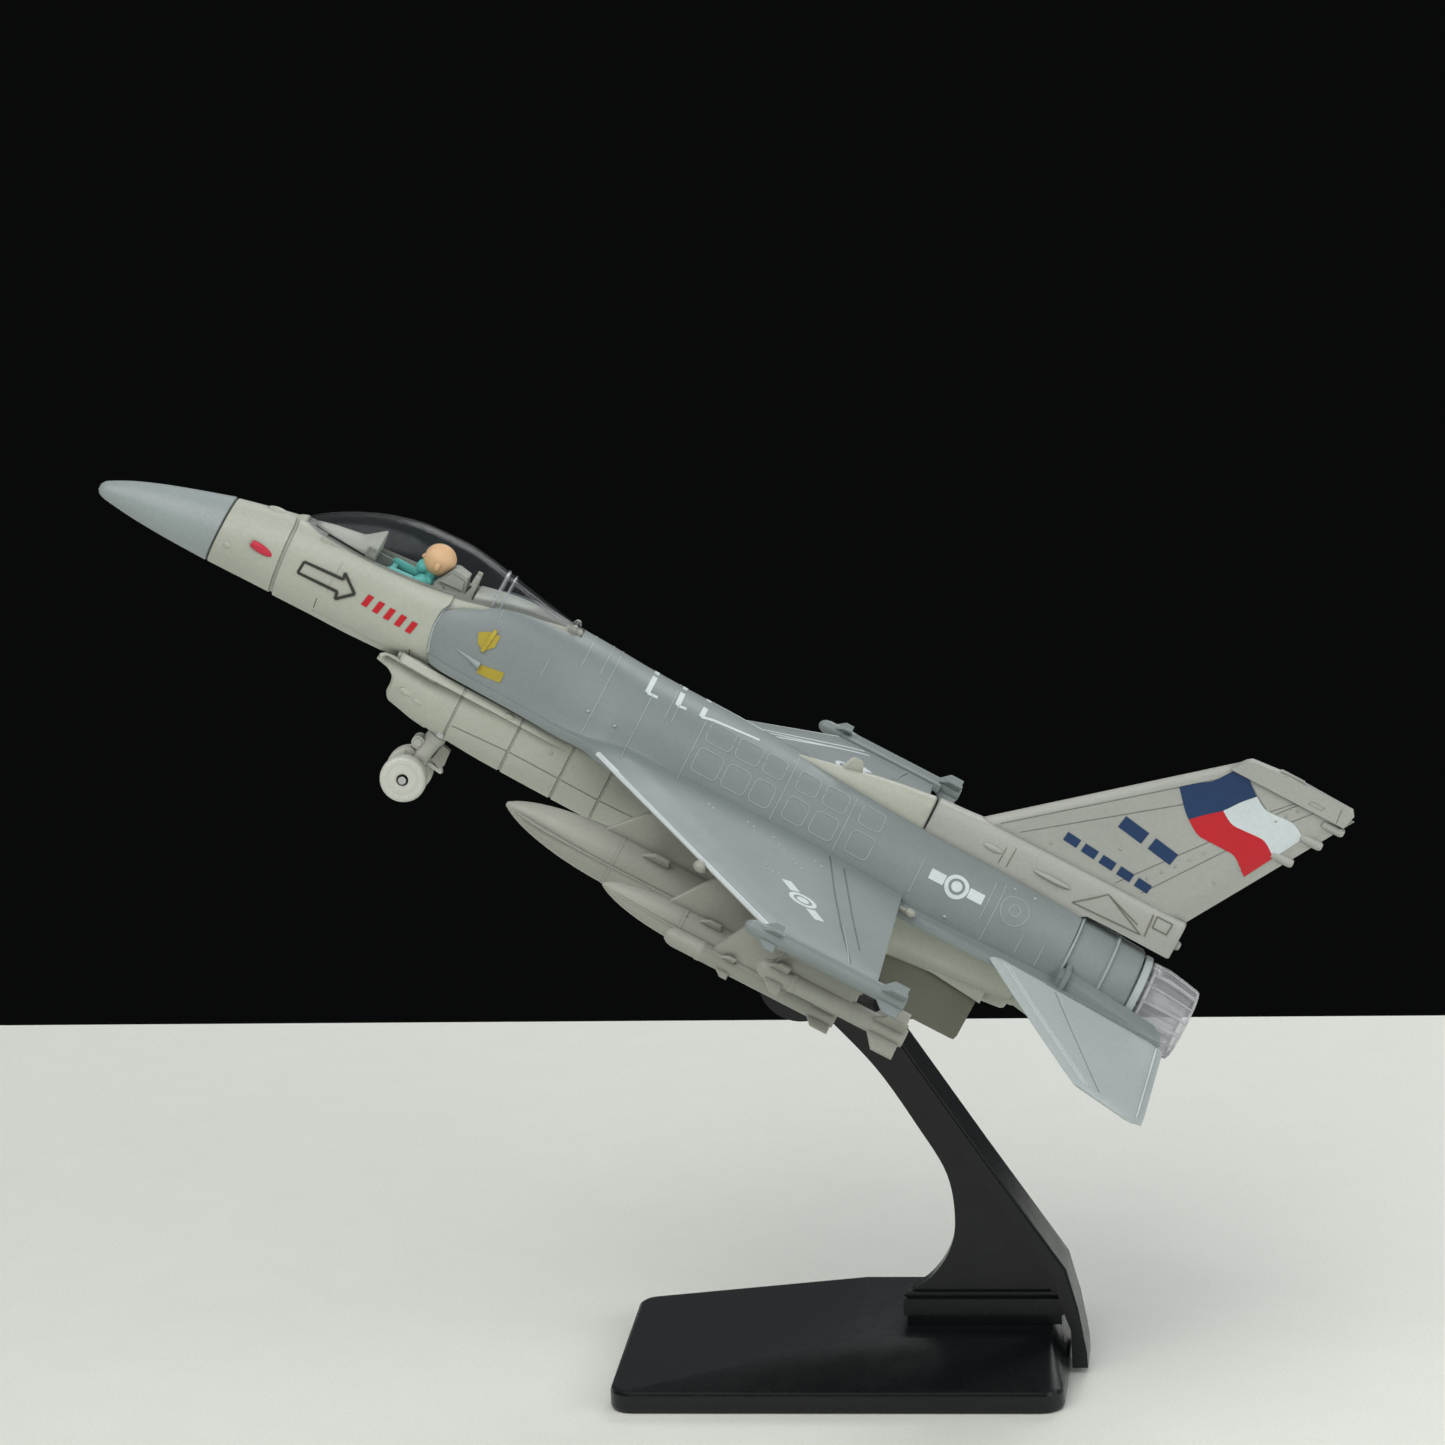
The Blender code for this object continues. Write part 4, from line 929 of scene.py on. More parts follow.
def make_rivets():
    """Small domes scattered over the wing roots in short rows, and the spine's few raised spots, in the
    lighter grey of the painted highlight.
    """
    rivets = []
    places = [
        (116.0, 19.6), (117.0, 20.6), (123.2, 18.6), (124.4, 19.4), (128.1, 19.6), (129.4, 22.3),
        (130.4, 23.0),
        (132.2, 26.1), (133.2, 27.0), (134.2, 28.4), (136.0, 21.0), (137.2, 21.8), (128.5, 35.3),
        (130.0, 37.0), (131.0, 36.2),
    ]
    for x, y in places:
        for _, side in SIDES:
            rivets.append(ball(wing_spot(x, side * y), (0.34, 0.34, 0.2), 12, 8))
    for x, turn in ((96.1, 71), (91.0, 72), (168.6, 27), (172.4, 25), (160.0, 82)):
        for _, side in SIDES:
            rivets.append(ball(dome_spot(x, turn, side), (0.36, 0.3, 0.3), 12, 8))
    piece("shell_rivets", together(rivets), GREY_HIGHLIGHT, crease=60)


# ---------------------------------------------------------------- nose
NOSE = smooth_table([
    (21.85, 5.95, 5.45, -6.4, 2.0, 2.0), (27.0, 6.3, 6.6, -6.35, 2.1, 2.05),
    (33.0, 6.7, 7.7, -6.3, 2.4, 2.1),
    (40.0, 7.15, 8.2, -6.3, 3.3, 2.3), (46.0, 7.5, 8.5, -6.3, 3.9, 2.4), (55.0, 8.0, 9.1, -6.0, 4.0, 2.5),
    (61.2, 8.35, 10.0, -5.6, 3.8, 2.6),
])
NOSE_GROOVE = smooth_table(
    [(-6.4, 34.1), (-4.2, 33.9), (-0.4, 33.6), (3.6, 33.3), (6.7, 33.1), (8.5, 32.4)]
)


def nose_ring(x, grow=0.0):
    """A ring of the nose body, boxier above its middle than below."""
    half, top, low, upper, lower = NOSE(x)
    middle = (top + low) / 2
    points = []
    count = 72
    for i in range(count):
        angle = 2 * pi * (i + 0.5) / count
        power = upper if sin(angle) > 0 else lower
        across = copysign(abs(cos(angle)) ** (2 / power), cos(angle))
        up = copysign(abs(sin(angle)) ** (2 / power), sin(angle))
        points.append(Vector((x, (half + grow) * across, middle + ((top - low) / 2 + grow) * up)))
    return points


def nose_spot(x, z, side=-1):
    """A point on the nose body's side at a height."""
    half, top, low, upper, lower = NOSE(x)
    middle = (top + low) / 2
    power = upper if z > middle else lower
    share = min(1.0, abs(z - middle) / ((top - low) / 2))
    y = half * (1 - share**power) ** (1 / power)
    return Vector((x, side * y, z))


def nose_line(outline, side, width=0.3, height=0.06, sink=0.1):
    """A line drawn on the nose body through (x, z) points."""
    return traced(on_side(nose_spot, side), divided(outline, 0.8), width, height, sink)


def make_radome():
    """The drooping grey nose cone, with a thin lip where it meets the body."""
    outline = smooth_table([
        (0.0, 0.45, -3.15, -4.25), (0.5, 1.15, -2.45, -4.85), (1.4, 1.75, -1.9, -5.2),
        (4.1, 2.6, -0.5, -5.6), (8.9, 3.8, 1.45, -6.05),
        (15.5, 5.05, 3.65, -6.35), (21.5, 5.95, 5.5, -6.45),
    ])
    stations = [0.0, 0.15, 0.3, 0.5, 0.8, 1.1, 1.5] + steps_between(2.0, 21.2, 1.0) + [21.5]
    rings = [power_ring(x, *outline(x), 2.0, 64) for x in stations]
    rings.append(power_ring(21.72, 5.6, 5.15, -6.1, 2.0, 64))
    piece("nose_cone", loft(rings), GREY_LIGHT, stands_for=["radome"], crease=40)


def make_nose_body():
    """The khaki forward body with a curved joint line, blisters and the cockpit opening."""
    rings = [nose_ring(21.8, -0.35), nose_ring(22.0)]
    rings += [nose_ring(x) for x in steps_between(23.0, 32.0, 1.2)]
    for offset, grow in ((-0.5, 0.0), (-0.28, -0.28), (0.12, -0.28), (0.34, 0.14), (1.2, 0.14)):
        ring = nose_ring(33.4 + offset, grow)
        for point in ring:
            point.x += NOSE_GROOVE(point.z)[0] - 33.4
        rings.append(ring)

    def sheared(x, grow):
        ring = nose_ring(x, grow)
        for point in ring:
            point.x += (FRONT_EDGE(min(point.z, 8.0))[0] - FRONT_X - 0.02) * ease((x - 52.0) / 9.0)
        return ring

    rings += [sheared(x, 0.14 * (1 - ease((x - 34) / 8))) for x in steps_between(36.4, 61.2, 1.2)]
    rings += [sheared(61.25, -0.7), nose_ring(60.6, -0.9)]
    tail = [power_ring(x, w, -2.95, -5.4, 5.0, 48) for x, w in ((58.2, 7.6), (60.0, 7.9), (65.8, 8.6))]
    body = join(loft(rings), loft(tail))
    body = cut(body, box((38.4, -5.2, 0.4), (67.5, 5.2, 20)))
    hook = [
        half_ring(x, w, top, 6.0, 2.2, 31)
        for x, w, top in ((31.8, 1.5, 7.4), (32.8, 2.3, 8.2), (33.9, 2.6, 8.6), (34.3, 2.5, 8.4))
    ]
    body = join(body, loft(hook))
    for _, side in SIDES:
        body = join(body, ball((24.1, side * 5.95, -0.9), (0.7, 0.35, 0.55), 20, 12))
    body = join(body, ball((29.4, 0, 6.55), (2.4, 1.3, 0.95)))
    piece("nose_casting", body, KHAKI, stands_for=["nose_fuselage"], crease=34)
    details = []
    for _, side in SIDES:
        details.append(nose_line([(41.7, -1.7), (41.9, -4.4)], side, 0.3, 0.02))
        details.append(nose_line([(59.5, -2.0), (60.0, -3.6)], side, 0.3, 0.02))
    piece("nose_joint_lines", together(details), GROOVE_INK, crease=60)
    folds = []
    for _, side in SIDES:
        folds.append(nose_line([(42.2, -4.6), (48.2, -4.1), (55.5, -4.2)], side, 0.5, 0.1, 0.2))
        folds.append(nose_line([(42.9, 6.0), (42.6, 0.4)], side, 0.2, 0.05))
    piece("nose_fold_lines", together(folds), KHAKI, crease=60)
    drops = []
    for _, side in SIDES:
        drop = cut(ball((0, 0, 0), (2.5, 0.55, 0.78), 40, 24), box((-3.0, -1.0, -1.0), (-1.7, 1.0, 1.0)))
        bmesh.ops.rotate(drop, matrix=Matrix.Rotation(radians(6), 3, "Y"), verts=drop.verts)
        bmesh.ops.translate(drop, vec=nose_spot(29.4, 1.35, side), verts=drop.verts)
        drops.append(drop)
    piece("nose_red_fairings", together(drops), ROSE_INK, crease=50)


# ---------------------------------------------------------------- lower shell and intake
BELLY = smooth_table([
    (59.5, 8.6, -12.9), (66.0, 9.3, -14.1), (72.0, 9.55, -14.6), (80.0, 9.9, BELLY_Z),
    (98.0, 11.4, BELLY_Z), (118.0, 12.4, BELLY_Z), (148.0, 12.0, BELLY_Z),
    (162.0, 10.8, -13.4), (176.5, 9.6, -11.8),
])
BELLY_TOP_Z = SPLIT_Z - 0.5
BELLY_GROOVES = (71.1, 82.1, 91.85, 99.4)
BELLY_SHARES = (
    0.0, 0.03, 0.06, 0.09, 0.107, 0.122, 0.137, 0.155, 0.175, 0.2, 0.225, 0.25, 0.28, 0.32, 0.38, 0.46,
    0.55, 0.64, 0.72, 0.79,
    0.85, 0.9, 0.94, 0.97, 0.99, 0.998,
)


def belly_relief(x, z):
    """How far the side stands out of its plain curve: a ledge under the joint and a dark recess below it."""
    front = 1 - ease((x - 86) / 8)
    ledge = 0.8 * min(1.0, max(0.0, (BELLY_TOP_Z - z) / 1.2)) * ease((z + 4.5) / 0.25) * front
    recess = 1.5 * ease((z + 7.6) / 3.0) * ease((-4.25 - z) / 0.3) * (1 - ease((x - 64) / 17))
    recess *= ease((x - 59.2) / 1.6)
    return ledge - recess


def belly_pinch(x, z):
    """The share by which the rear belly narrows below its crease."""
    return 0.07 * max(0.0, -7.7 - z) * ease((x - 146.0) / 9.0)


def belly_ring(x, grow=0.0):
    """A ring of the belly by depth: port side down, starboard side up, flat on top."""
    half, low = BELLY(x)
    low -= grow
    side = []
    for share in BELLY_SHARES:
        z = BELLY_TOP_Z + (low - BELLY_TOP_Z) * share
        y = (half + grow) * (1 - share**BELLY_POWER) ** (1 / BELLY_POWER)
        side.append(Vector((x, y * (1 - belly_pinch(x, z)) + belly_relief(x, z), z)))
    return side + [Vector((p.x, -p.y, p.z)) for p in reversed(side)]


def belly_spot(x, z, side=-1):
    half, low = BELLY(x)
    share = min(1.0, max(0.0, (z - BELLY_TOP_Z) / (low - BELLY_TOP_Z)))
    return Vector((x, side * half * (1 - share**BELLY_POWER) ** (1 / BELLY_POWER), z))


def belly_line(outline, side, width, height, sink):
    """A line along the belly's side through (x, z) points."""
    return traced(on_side(belly_spot, side), divided(outline, 1.5), width, height, sink)


def make_lower_shell():
    """The khaki belly with cut panel grooves, a ledge under the joint, gear bays and screw wells."""
    stations = [66.0] + steps_between(67.0, 95.0, 1.5) + steps_between(96.5, 176.0, 2.2)
    rows = [(x, 0.0) for x in stations if all(abs(x - groove) > 0.6 for groove in BELLY_GROOVES)]
    for groove in BELLY_GROOVES:
        rows += [(groove - 0.26, 0.0), (groove - 0.16, -0.2), (groove + 0.16, -0.2), (groove + 0.26, 0.0)]
    shell = loft([belly_ring(x, grow) for x, grow in sorted(rows)] + [belly_ring(176.5, -0.3)])
    cutters = [box((67.6, -6.3, -20), (87.2, 6.3, -8.4))]
    for _, side in SIDES:
        cutters.append(flank_box((109.6, 3.9, -20), (128.6, 10.5, -8.4), side))
        groove = [(71.8, -10.1), (82.3, -9.4), (91.8, -9.3), (99.4, -9.3), (108.4, -8.9)]
        cutters.append(belly_line(groove, side, 0.3, 0.4, 0.12))
        cutters.append(ball(belly_spot(109.6, -8.8, side), (0.8, 0.6, 0.6), 16, 10))
    cutters += [
        rod((x, 0, step - 5), (0, 0, 1), 2.3, 10.0, 32) for x, step in ((98.0, -12.9), (166.0, -11.0))
    ]
    shell = cut(shell, *cutters)
    extras = []
    for _, side in SIDES:
        extras.append(
            ball(belly_spot(79.8, -3.7, side) + Vector((0, side * 0.3, 0)), (0.9, 0.5, 0.55), 20, 12)
        )
        extras.append(ball(belly_spot(88.6, -5.9, side), (0.45, 0.22, 0.35), 16, 10))
        step = [
            (172.3, -11.0), (172.3, -8.8), (176.8, -8.8), (177.5, -8.6), (181.2, -9.2), (181.2, -5.0),
            (150.0, -5.0), (153.0, -9.0)
        ]
        extras.append(flank_plate(step, 4.5, 8.7, side))
    piece("lower_shell_casting", join(shell, *extras), KHAKI, stands_for=["lower_shell"], crease=36)


def make_intake():
    """The open air intake, flush with the belly behind it, its upper lip reaching ahead of the lower one."""
    lip = straight_table([
        (-13.4, 60.4), (-12.2, 59.8), (-11.2, 59.4), (-9.0, 59.5), (-7.6, 59.2), (-6.8, 58.4), (-6.2, 57.1),
        (-5.6, 55.8),
        (-5.1, 55.7), (-4.5, 56.4), (-4.25, 59.2), (-2.9, 59.2),
    ])
    outer, inner = [], []
    for x in [59.5, 59.7] + steps_between(60.3, 66.0, 0.8):
        ring = belly_ring(x, -0.2 if x == 59.5 else 0.0)
        for point in ring:
            point.x += (lip(point.z)[0] - 59.5) * (1 - ease((x - 59.5) / 6.0))
        outer.append(ring)
        inner.append(
            [Vector((p.x - 0.1, p.y * 0.89, BELLY_TOP_Z + (p.z - BELLY_TOP_Z) * 0.88)) for p in ring]
        )
    edge = [(a + b) / 2 - Vector((0.3, 0, 0)) for a, b in zip(outer[0], inner[0])]
    loops = []
    for k in range(len(edge)):
        loops.append([edge[k]] + [ring[k] for ring in outer] + [ring[k] for ring in reversed(inner)])
    duct = loft(loops)
    extras = []
    for _, side in SIDES:
        extras.append(ball(belly_spot(62.4, -8.6, side), (1.3, 0.16, 0.55), 24, 14))
        extras.append(ball(belly_spot(64.8, -9.1, side), (1.0, 0.12, 0.4), 24, 14))
    piece("intake_casting", together([duct] + extras), KHAKI, stands_for=["intake_duct"], crease=36)


# ---------------------------------------------------------------- rear deck, spine and fin
DECK = smooth_table([
    (61.3, 7.5, 9.9), (64.0, 7.1, 10.5), (68.0, 6.6, 11.5), (72.0, 5.8, 12.3), (76.0, 4.8, 12.7),
    (80.0, 3.6, 12.75), (84.2, 2.6, 12.6),
])
DECK_POWER = 3.6


def deck_ring(x):
    return half_ring(x, *DECK(x), 4.0, DECK_POWER, 41)


def sill_height(x, y):
    """The height of the khaki body under the canopy's edge."""
    if x > 61.9:
        half, crown = DECK(x)
        return 4.0 + (crown - 4.0) * max(0.0, 1 - (y / half) ** DECK_POWER) ** (1 / DECK_POWER)
    half, top, low, power, _ = NOSE(x)
    middle = (top + low) / 2
    return middle + (top - middle) * max(0.0, 1 - (y / half) ** power) ** (1 / power)


def make_rear_deck():
    """The sill behind the cockpit under the canopy's tail, with the hinge ears."""
    rings = [deck_ring(x) for x in steps_between(61.8, 83.8, 1.4)]
    last = half_ring(84.2, 2.3, 12.3, 4.0, DECK_POWER, 41)
    deck = cut(loft(rings + [last]), box((55, -5.2, 3.0), (65.2, 5.2, 20)))
    ears = []
    for _, side in SIDES:
        ears.append(
            flank_box((CANOPY_HINGE.x - 0.7, 1.7, 11.0), (CANOPY_HINGE.x + 0.7, 2.4, CANOPY_HINGE.z), side)
        )
        ears.append(rod((CANOPY_HINGE.x, side * 2.05, CANOPY_HINGE.z), (0, 1, 0), 0.58, 0.7, 28))
    deck = cut(join(deck, *ears), rod(CANOPY_HINGE, (0, 1, 0), 0.42, 7.0, 20))
    piece("cockpit_rear_deck", deck, KHAKI, stands_for=["rear_deck"], crease=36)


def make_spine():
    """The tapering spine fairing with its blade aerial."""
    rows = smooth_table([(126.0, 0.8, 10.9), (134.0, 2.1, 12.6), (142.0, 2.8, 14.2), (150.2, 3.2, 15.3)])
    rings = [half_ring(x, *rows(x), 5.0, 2.8, 41) for x in steps_between(126.0, 149.9, 1.2)]
    last = half_ring(150.2, 3.0, 15.05, 5.0, 2.8, 41)
    aerial = [
        [
            Vector((x, y * thick, z))
            for x, y in (
                (front, 0), (front + 0.5, -1), (rear - 0.6, -0.8), (rear, 0), (rear - 0.6, 0.8),
                (front + 0.5, 1)
            )
        ]
        for front, rear, thick, z in (
            (133.0, 137.6, 0.5, 11.5), (134.1, 136.4, 0.42, 14.6), (134.5, 136.1, 0.25, 14.95)
        )
    ]
    spine = join(loft(rings + [last]), loft(aerial))
    piece("spine_casting", spine, KHAKI, stands_for=["spine_fairing"], crease=36)


FIN_LOW_Z, FIN_HIGH_Z = 14.5, 44.8
FIN_BASE_POWER = 3.4


def fin_front(z):
    return 158.7 + (z - 16.1) * 1.16


def fin_rear(z):
    return 197.2 + (z - 16.0) * 0.575


def fin_half(x, z):
    """Half the fin's thickness: flat in the middle, ramped at both edges."""
    full = 0.98 - 0.38 * (z - FIN_LOW_Z) / (FIN_HIGH_Z - FIN_LOW_Z)
    front = 0.12 + 0.88 * ease((x - fin_front(z)) / 2.0)
    rear = 0.3 + 0.7 * ease((fin_rear(z) - x) / 4.0)
    return full * min(front, rear)


def fin_spot(x, z, side=-1):
    return Vector((x, side * fin_half(x, z), z))


def fin_line(outline, side, width=0.3, height=0.4, sink=0.16):
    """A line on the fin's face through (x, z) points."""
    points = [fin_spot(*spot, side) for spot in outline]
    return bead(points, [Vector((0, side, 0))] * len(points), width, height, sink)


def make_fin():
    """The fin on its long base: ramped edges, cut lines, cap and rear knobs."""
    rows = smooth_table([
        (150.6, 3.2, 15.3, 7.0), (156.0, 3.3, 15.6, 7.0), (160.0, 3.2, 15.9, 7.0), (178.0, 2.9, 16.0, 7.0),
        (182.0, 2.8, 16.0, 9.6), (197.4, 2.0, 15.9, 9.2),
    ])
    rings = [half_ring(150.6, 2.95, 15.05, 7.0, FIN_BASE_POWER, 41)] + [
        half_ring(x, *rows(x), FIN_BASE_POWER, 41) for x in steps_between(150.9, 197.0, 1.4)
    ]
    rings.append(half_ring(197.4, 1.7, 15.6, 9.3, FIN_BASE_POWER, 41))
    base = loft(rings)
    blade = []
    for z in steps_between(FIN_LOW_Z, FIN_HIGH_Z, 2.5):
        front, rear = fin_front(z), fin_rear(z)
        marks = [front, front + 0.25, front + 0.6, front + 1.1, front + 2.0]
        marks += [rear - 4.0, rear - 2.8, rear - 1.6, rear - 0.6, rear]
        near = [Vector((x, -fin_half(x, z), z)) for x in marks]
        blade.append(near + [Vector((x, fin_half(x, z), z)) for x in reversed(marks)])
    fin = join(base, loft(blade))
    cap = [
        (191.2, 43.3), (193.0, 45.6), (193.8, 46.2), (200.4, 46.8), (212.7, 46.4), (213.2, 45.8),
        (212.6, 43.2)
    ]
    bump = [(198.0, 46.2), (199.0, 47.0), (203.2, 47.0), (204.2, 46.4), (204.2, 45.6), (198.0, 45.6)]
    fin = join(fin, side_plate(cap, -1.15, 1.15), side_plate(bump, -0.7, 0.7))
    for x, z in ((198.3, 11.5), (208.2, 33.4), (211.1, 38.3), (213.2, 42.1)):
        knob = lathe([(0.5, 2.0), (0.78, 1.7), (0.85, 1.2), (0.85, -2.0)], (x - 2.0, 0, z), (1, 0, 0), 24)
        fin = join(fin, knob)
    cutters = []
    for _, side in SIDES:
        for outline in (
            [(161.6, 16.6), (193.2, 43.2)], [(183.4, 16.6), (194.2, 30.7), (204.2, 43.2)],
            [(188.0, 17.0), (200.5, 35.2), (207.0, 43.0)],
            [(194.5, 43.0), (200.2, 39.5), (203.6, 43.2)], [(165.2, 16.8), (188.0, 34.8)],
        ):
            fine = []
            for start, end in zip(outline, outline[1:]):
                fine += [Vector(start).lerp(Vector(end), i / 6) for i in range(6)]
            cutters.append(fin_line(fine + [Vector(outline[-1])], side, 0.22, 0.5, 0.1))
        for outline in (
            [(205.3, 44.1), (205.7, 44.9), (208.3, 44.9), (207.9, 44.1)],
            [(211.0, 43.4), (210.7, 45.9), (210.9, 45.9), (211.2, 43.4)],
        ):
            cutters.append(flank_plate(outline, 1.06, 2.0, side))
    piece("tail_fin_casting", cut(fin, *cutters), FIN_GREY, stands_for=["tail_fin"], crease=34, bevel=0.0)


def base_spot(x, z, side=-1):
    """A point on the side of the fin's base."""
    rows = smooth_table(
        [(150.6, 3.2, 15.3, 7.0), (178.0, 2.9, 16.0, 7.0), (182.0, 2.8, 16.0, 9.6), (197.4, 2.0, 15.9, 9.2)]
    )
    half, top, low = rows(x)
    share = min(1.0, max(0.0, (z - low) / (top - low)))
    return Vector((x, side * half * (1 - share**FIN_BASE_POWER) ** (1 / FIN_BASE_POWER), z))


def make_fin_details():
    """Panel lines, blisters and rivets on the fin and its base."""
    lines, edges = [], []
    for _, side in SIDES:
        for outline in (
            [(183.2, 14.6), (178.4, 10.6), (191.2, 10.9), (183.2, 14.6), (190.0, 12.2)],
            [(191.6, 14.9), (191.9, 10.9)],
            [(192.3, 14.9), (195.2, 14.9), (195.1, 12.9), (192.4, 12.9), (192.3, 14.9)],
            [(164.3, 15.0), (164.2, 10.8)],
            [(165.8, 15.0), (165.7, 10.8)],
        ):
            points = []
            for start, end in zip(outline, outline[1:]):
                for i in range(6):
                    spot = Vector(start).lerp(Vector(end), i / 6)
                    points.append(base_spot(*spot, side))
            points.append(base_spot(*outline[-1], side))
            edges.append(bead(points, [Vector((0, side, 0.15)).normalized()] * len(points), 0.26, 0.1, 0.4))
        lines.append(ball(base_spot(162.2, 12.6, side), (1.9, 0.4, 0.6), 20, 12))
        lines.append(ball(base_spot(173.5, 12.5, side), (3.6, 0.6, 0.5), 24, 12))
        rivets = [
            (187.8, 19.8), (189.4, 21.9), (191.0, 23.9), (192.6, 26.1), (194.1, 28.2), (202.1, 38.8),
            (203.2, 40.4), (204.5, 42.0)
        ]
        rivets += [(181.4, 22.2), (170.6, 17.6), (198.0, 24.4), (200.6, 28.6)]
        lines += [ball(fin_spot(x, z, side), (0.26, 0.16, 0.26), 12, 8) for x, z in rivets]
    piece("fin_details", together(lines), FIN_GREY, crease=60)
    piece("fin_base_lines", together(edges), KHAKI_SHADE_AND_LINES, crease=60)


def droop(x, y):
    """How far the tailplane hangs lower towards the rear of its root."""
    return -1.1 * (x - 169.6) / 33.1 * min(1.0, max(0.0, 1 - (y - 15.2) / 22.0))


def make_tailplanes():
    """Tailplanes with ramped edges and a raised line behind the front edge."""
    rows = straight_table(
        [
            (14.7, 169.6, 202.7, -1.2, 1.5), (15.2, 169.6, 202.7, -1.2, 1.5),
            (37.2, 189.6, 202.7, -7.2, 0.9), (39.2, 198.4, 202.6, -7.8, 0.8)
        ]
    )
    for name, side in SIDES:
        rings = []
        for y in [14.7] + steps_between(15.2, 37.2, 1.2) + [37.7, 38.2, 38.7, 39.2]:
            front, rear, z, thick = rows(y)
            chord = rear - front
            marks = [(0.0, 0.12), (0.3, 0.4), (0.9, 0.75), (1.9, 1.0)]
            upper = [(front + min(d, 0.3 * chord), fill) for d, fill in marks]
            upper += [
                (rear - min(d, 0.3 * chord), fill)
                for d, fill in ((3.0, 0.95), (1.6, 0.7), (0.6, 0.42), (0.0, 0.25))
            ]
            half = thick / 2
            ring = [Vector((x, side * y, z + half * fill + droop(x, y))) for x, fill in upper]
            rings.append(
                ring + [Vector((x, side * y, z - half * fill + droop(x, y))) for x, fill in reversed(upper)]
            )
        plane = loft(rings)
        groove = []
        for share in steps_between(0.0, 1.0, 0.1):
            y = 16.0 + 21.0 * share
            front, rear, z, thick = rows(y)
            x = front + 0.36 * (rear - front)
            groove.append(Vector((x, side * y, z + thick / 2 + droop(x, y))))
        up = Vector((0, side * 0.27, 0.96))
        plane = cut(plane, bead(groove, [up] * len(groove), 0.35, 0.4, 0.14))
        piece("tailplane_casting_" + name, plane, TAIL_GREY, stands_for=["tailplane_" + name], crease=30)
        # Raised lines on the tailplane's top in near-white: painted highlights.
        lines = []
        for offset in (2.2, 2.9):
            path = []
            for share in steps_between(0.0, 1.0, 0.1):
                y = 15.6 + 21.2 * share
                front, rear, z, thick = rows(y)
                path.append(Vector((front + offset, side * y, z + thick / 2 + droop(front + offset, y))))
            lines.append(bead(path, [up] * len(path), 0.26, 0.1, 0.1))
        path = []
        for y in steps_between(15.8, 38.4, 2.0):
            front, rear, z, thick = rows(y)
            path.append(Vector((rear - 1.3, side * y, z + 0.42 * thick + droop(rear, y))))
        lines.append(bead(path, [up] * len(path), 0.4, 0.14, 0.2))
        piece("tailplane_lines_" + name, together(lines), EDGE_HIGHLIGHT, crease=60)


def make_keels():
    """Two canted keels under the tail, with bevelled edges, in darker khaki as painted shade."""
    for name, side in SIDES:
        rings = []
        for share, front, rear, y, z in (
            (0, 151.5, 171.7, 6.9, -9.5), (1, 157.1, 171.5, 9.4, -17.6), (1, 158.2, 171.2, 9.6, -18.4)
        ):
            half = 0.5 - 0.12 * share
            marks = [(front, 0.3), (front + 0.8, 1.0), (rear - 0.8, 1.0), (rear, 0.4)]
            ring = [Vector((x, side * (y + 0.15) + half * fill, z)) for x, fill in marks]
            rings.append(
                ring + [Vector((x, side * (y + 0.15) - half * fill, z)) for x, fill in reversed(marks)]
            )
        piece(
            "ventral_keel_" + name, loft(rings), KHAKI_SHADE_AND_LINES, stands_for=["ventral_fin_" + name], crease=25
        )


def make_nozzle():
    """The bright collar and the ring of clear ribbed petals."""
    collar = [
        (7.75, 0.55), (7.6, 0.7), (6.3, 0.7), (6.1, 0.55), (6.1, -0.55), (6.3, -0.7), (7.6, -0.7),
        (7.75, -0.55)
    ]
    piece(
        "nozzle_collar", turned(collar, (194.9, 0, -0.4), (-1, 0, 0), 64), TAIL_GREY,
        stands_for=["nozzle_ring"]
    )
    sides = 16
    rings = []
    for x, radius in (
        (196.15, 7.2), (196.6, 7.3), (197.4, 7.3), (199.2, 7.25), (202.5, 6.7), (204.7, 6.25), (205.15, 6.1)
    ):
        ring = []
        for k in range(sides):
            for share in (0.0, 0.12, 0.16, 0.5, 0.84, 0.88):
                angle = 2 * pi * (k + share) / sides
                flat = cos(pi / sides) / cos(pi * (2 * share - 1) / sides)
                rib = 0.16 if share in (0.0, 0.12, 0.88) else 0.0
                reach = radius * flat * 1.008 + rib
                ring.append(Vector((x, reach * cos(angle), -0.6 + reach * sin(angle))))
        rings.append(ring)
    outer = loft(rings)
    bore = []
    for x, radius in ((190.0, 6.4), (199.2, 6.35), (206.0, 5.3)):
        bore.append([Vector((x, radius * a, -0.6 + radius * b)) for a, b in circle(48)])
    petals = cut(outer, loft(bore))
    piece("nozzle_petal_ring", petals, PETAL, stands_for=["nozzle_petals"], crease=20)
    ribs = []
    for k in range(sides):
        angle = 2 * pi * (k + 0.06) / sides
        out = Vector((0, cos(angle), sin(angle)))
        reach = [(196.3, 7.3), (199.2, 7.35), (202.5, 6.8), (204.9, 6.3)]
        path = [Vector((x, 0, -0.6)) + out * radius for x, radius in reach]
        ribs.append(bead(path, [out] * 4, 0.32 + 0.22 * (k % 3), 0.14, 0.1))
    for x, radius in ((196.5, 7.3), (204.9, 6.25)):
        around = circle(48, closed=True)
        path = [Vector((x, radius * a, -0.6 + radius * b)) for a, b in around]
        ribs.append(bead(path, [Vector((0, a, b)) for a, b in around], 0.5, 0.12, 0.1))
    piece("nozzle_petal_ribs", together(ribs), PETAL_RIB, crease=40)


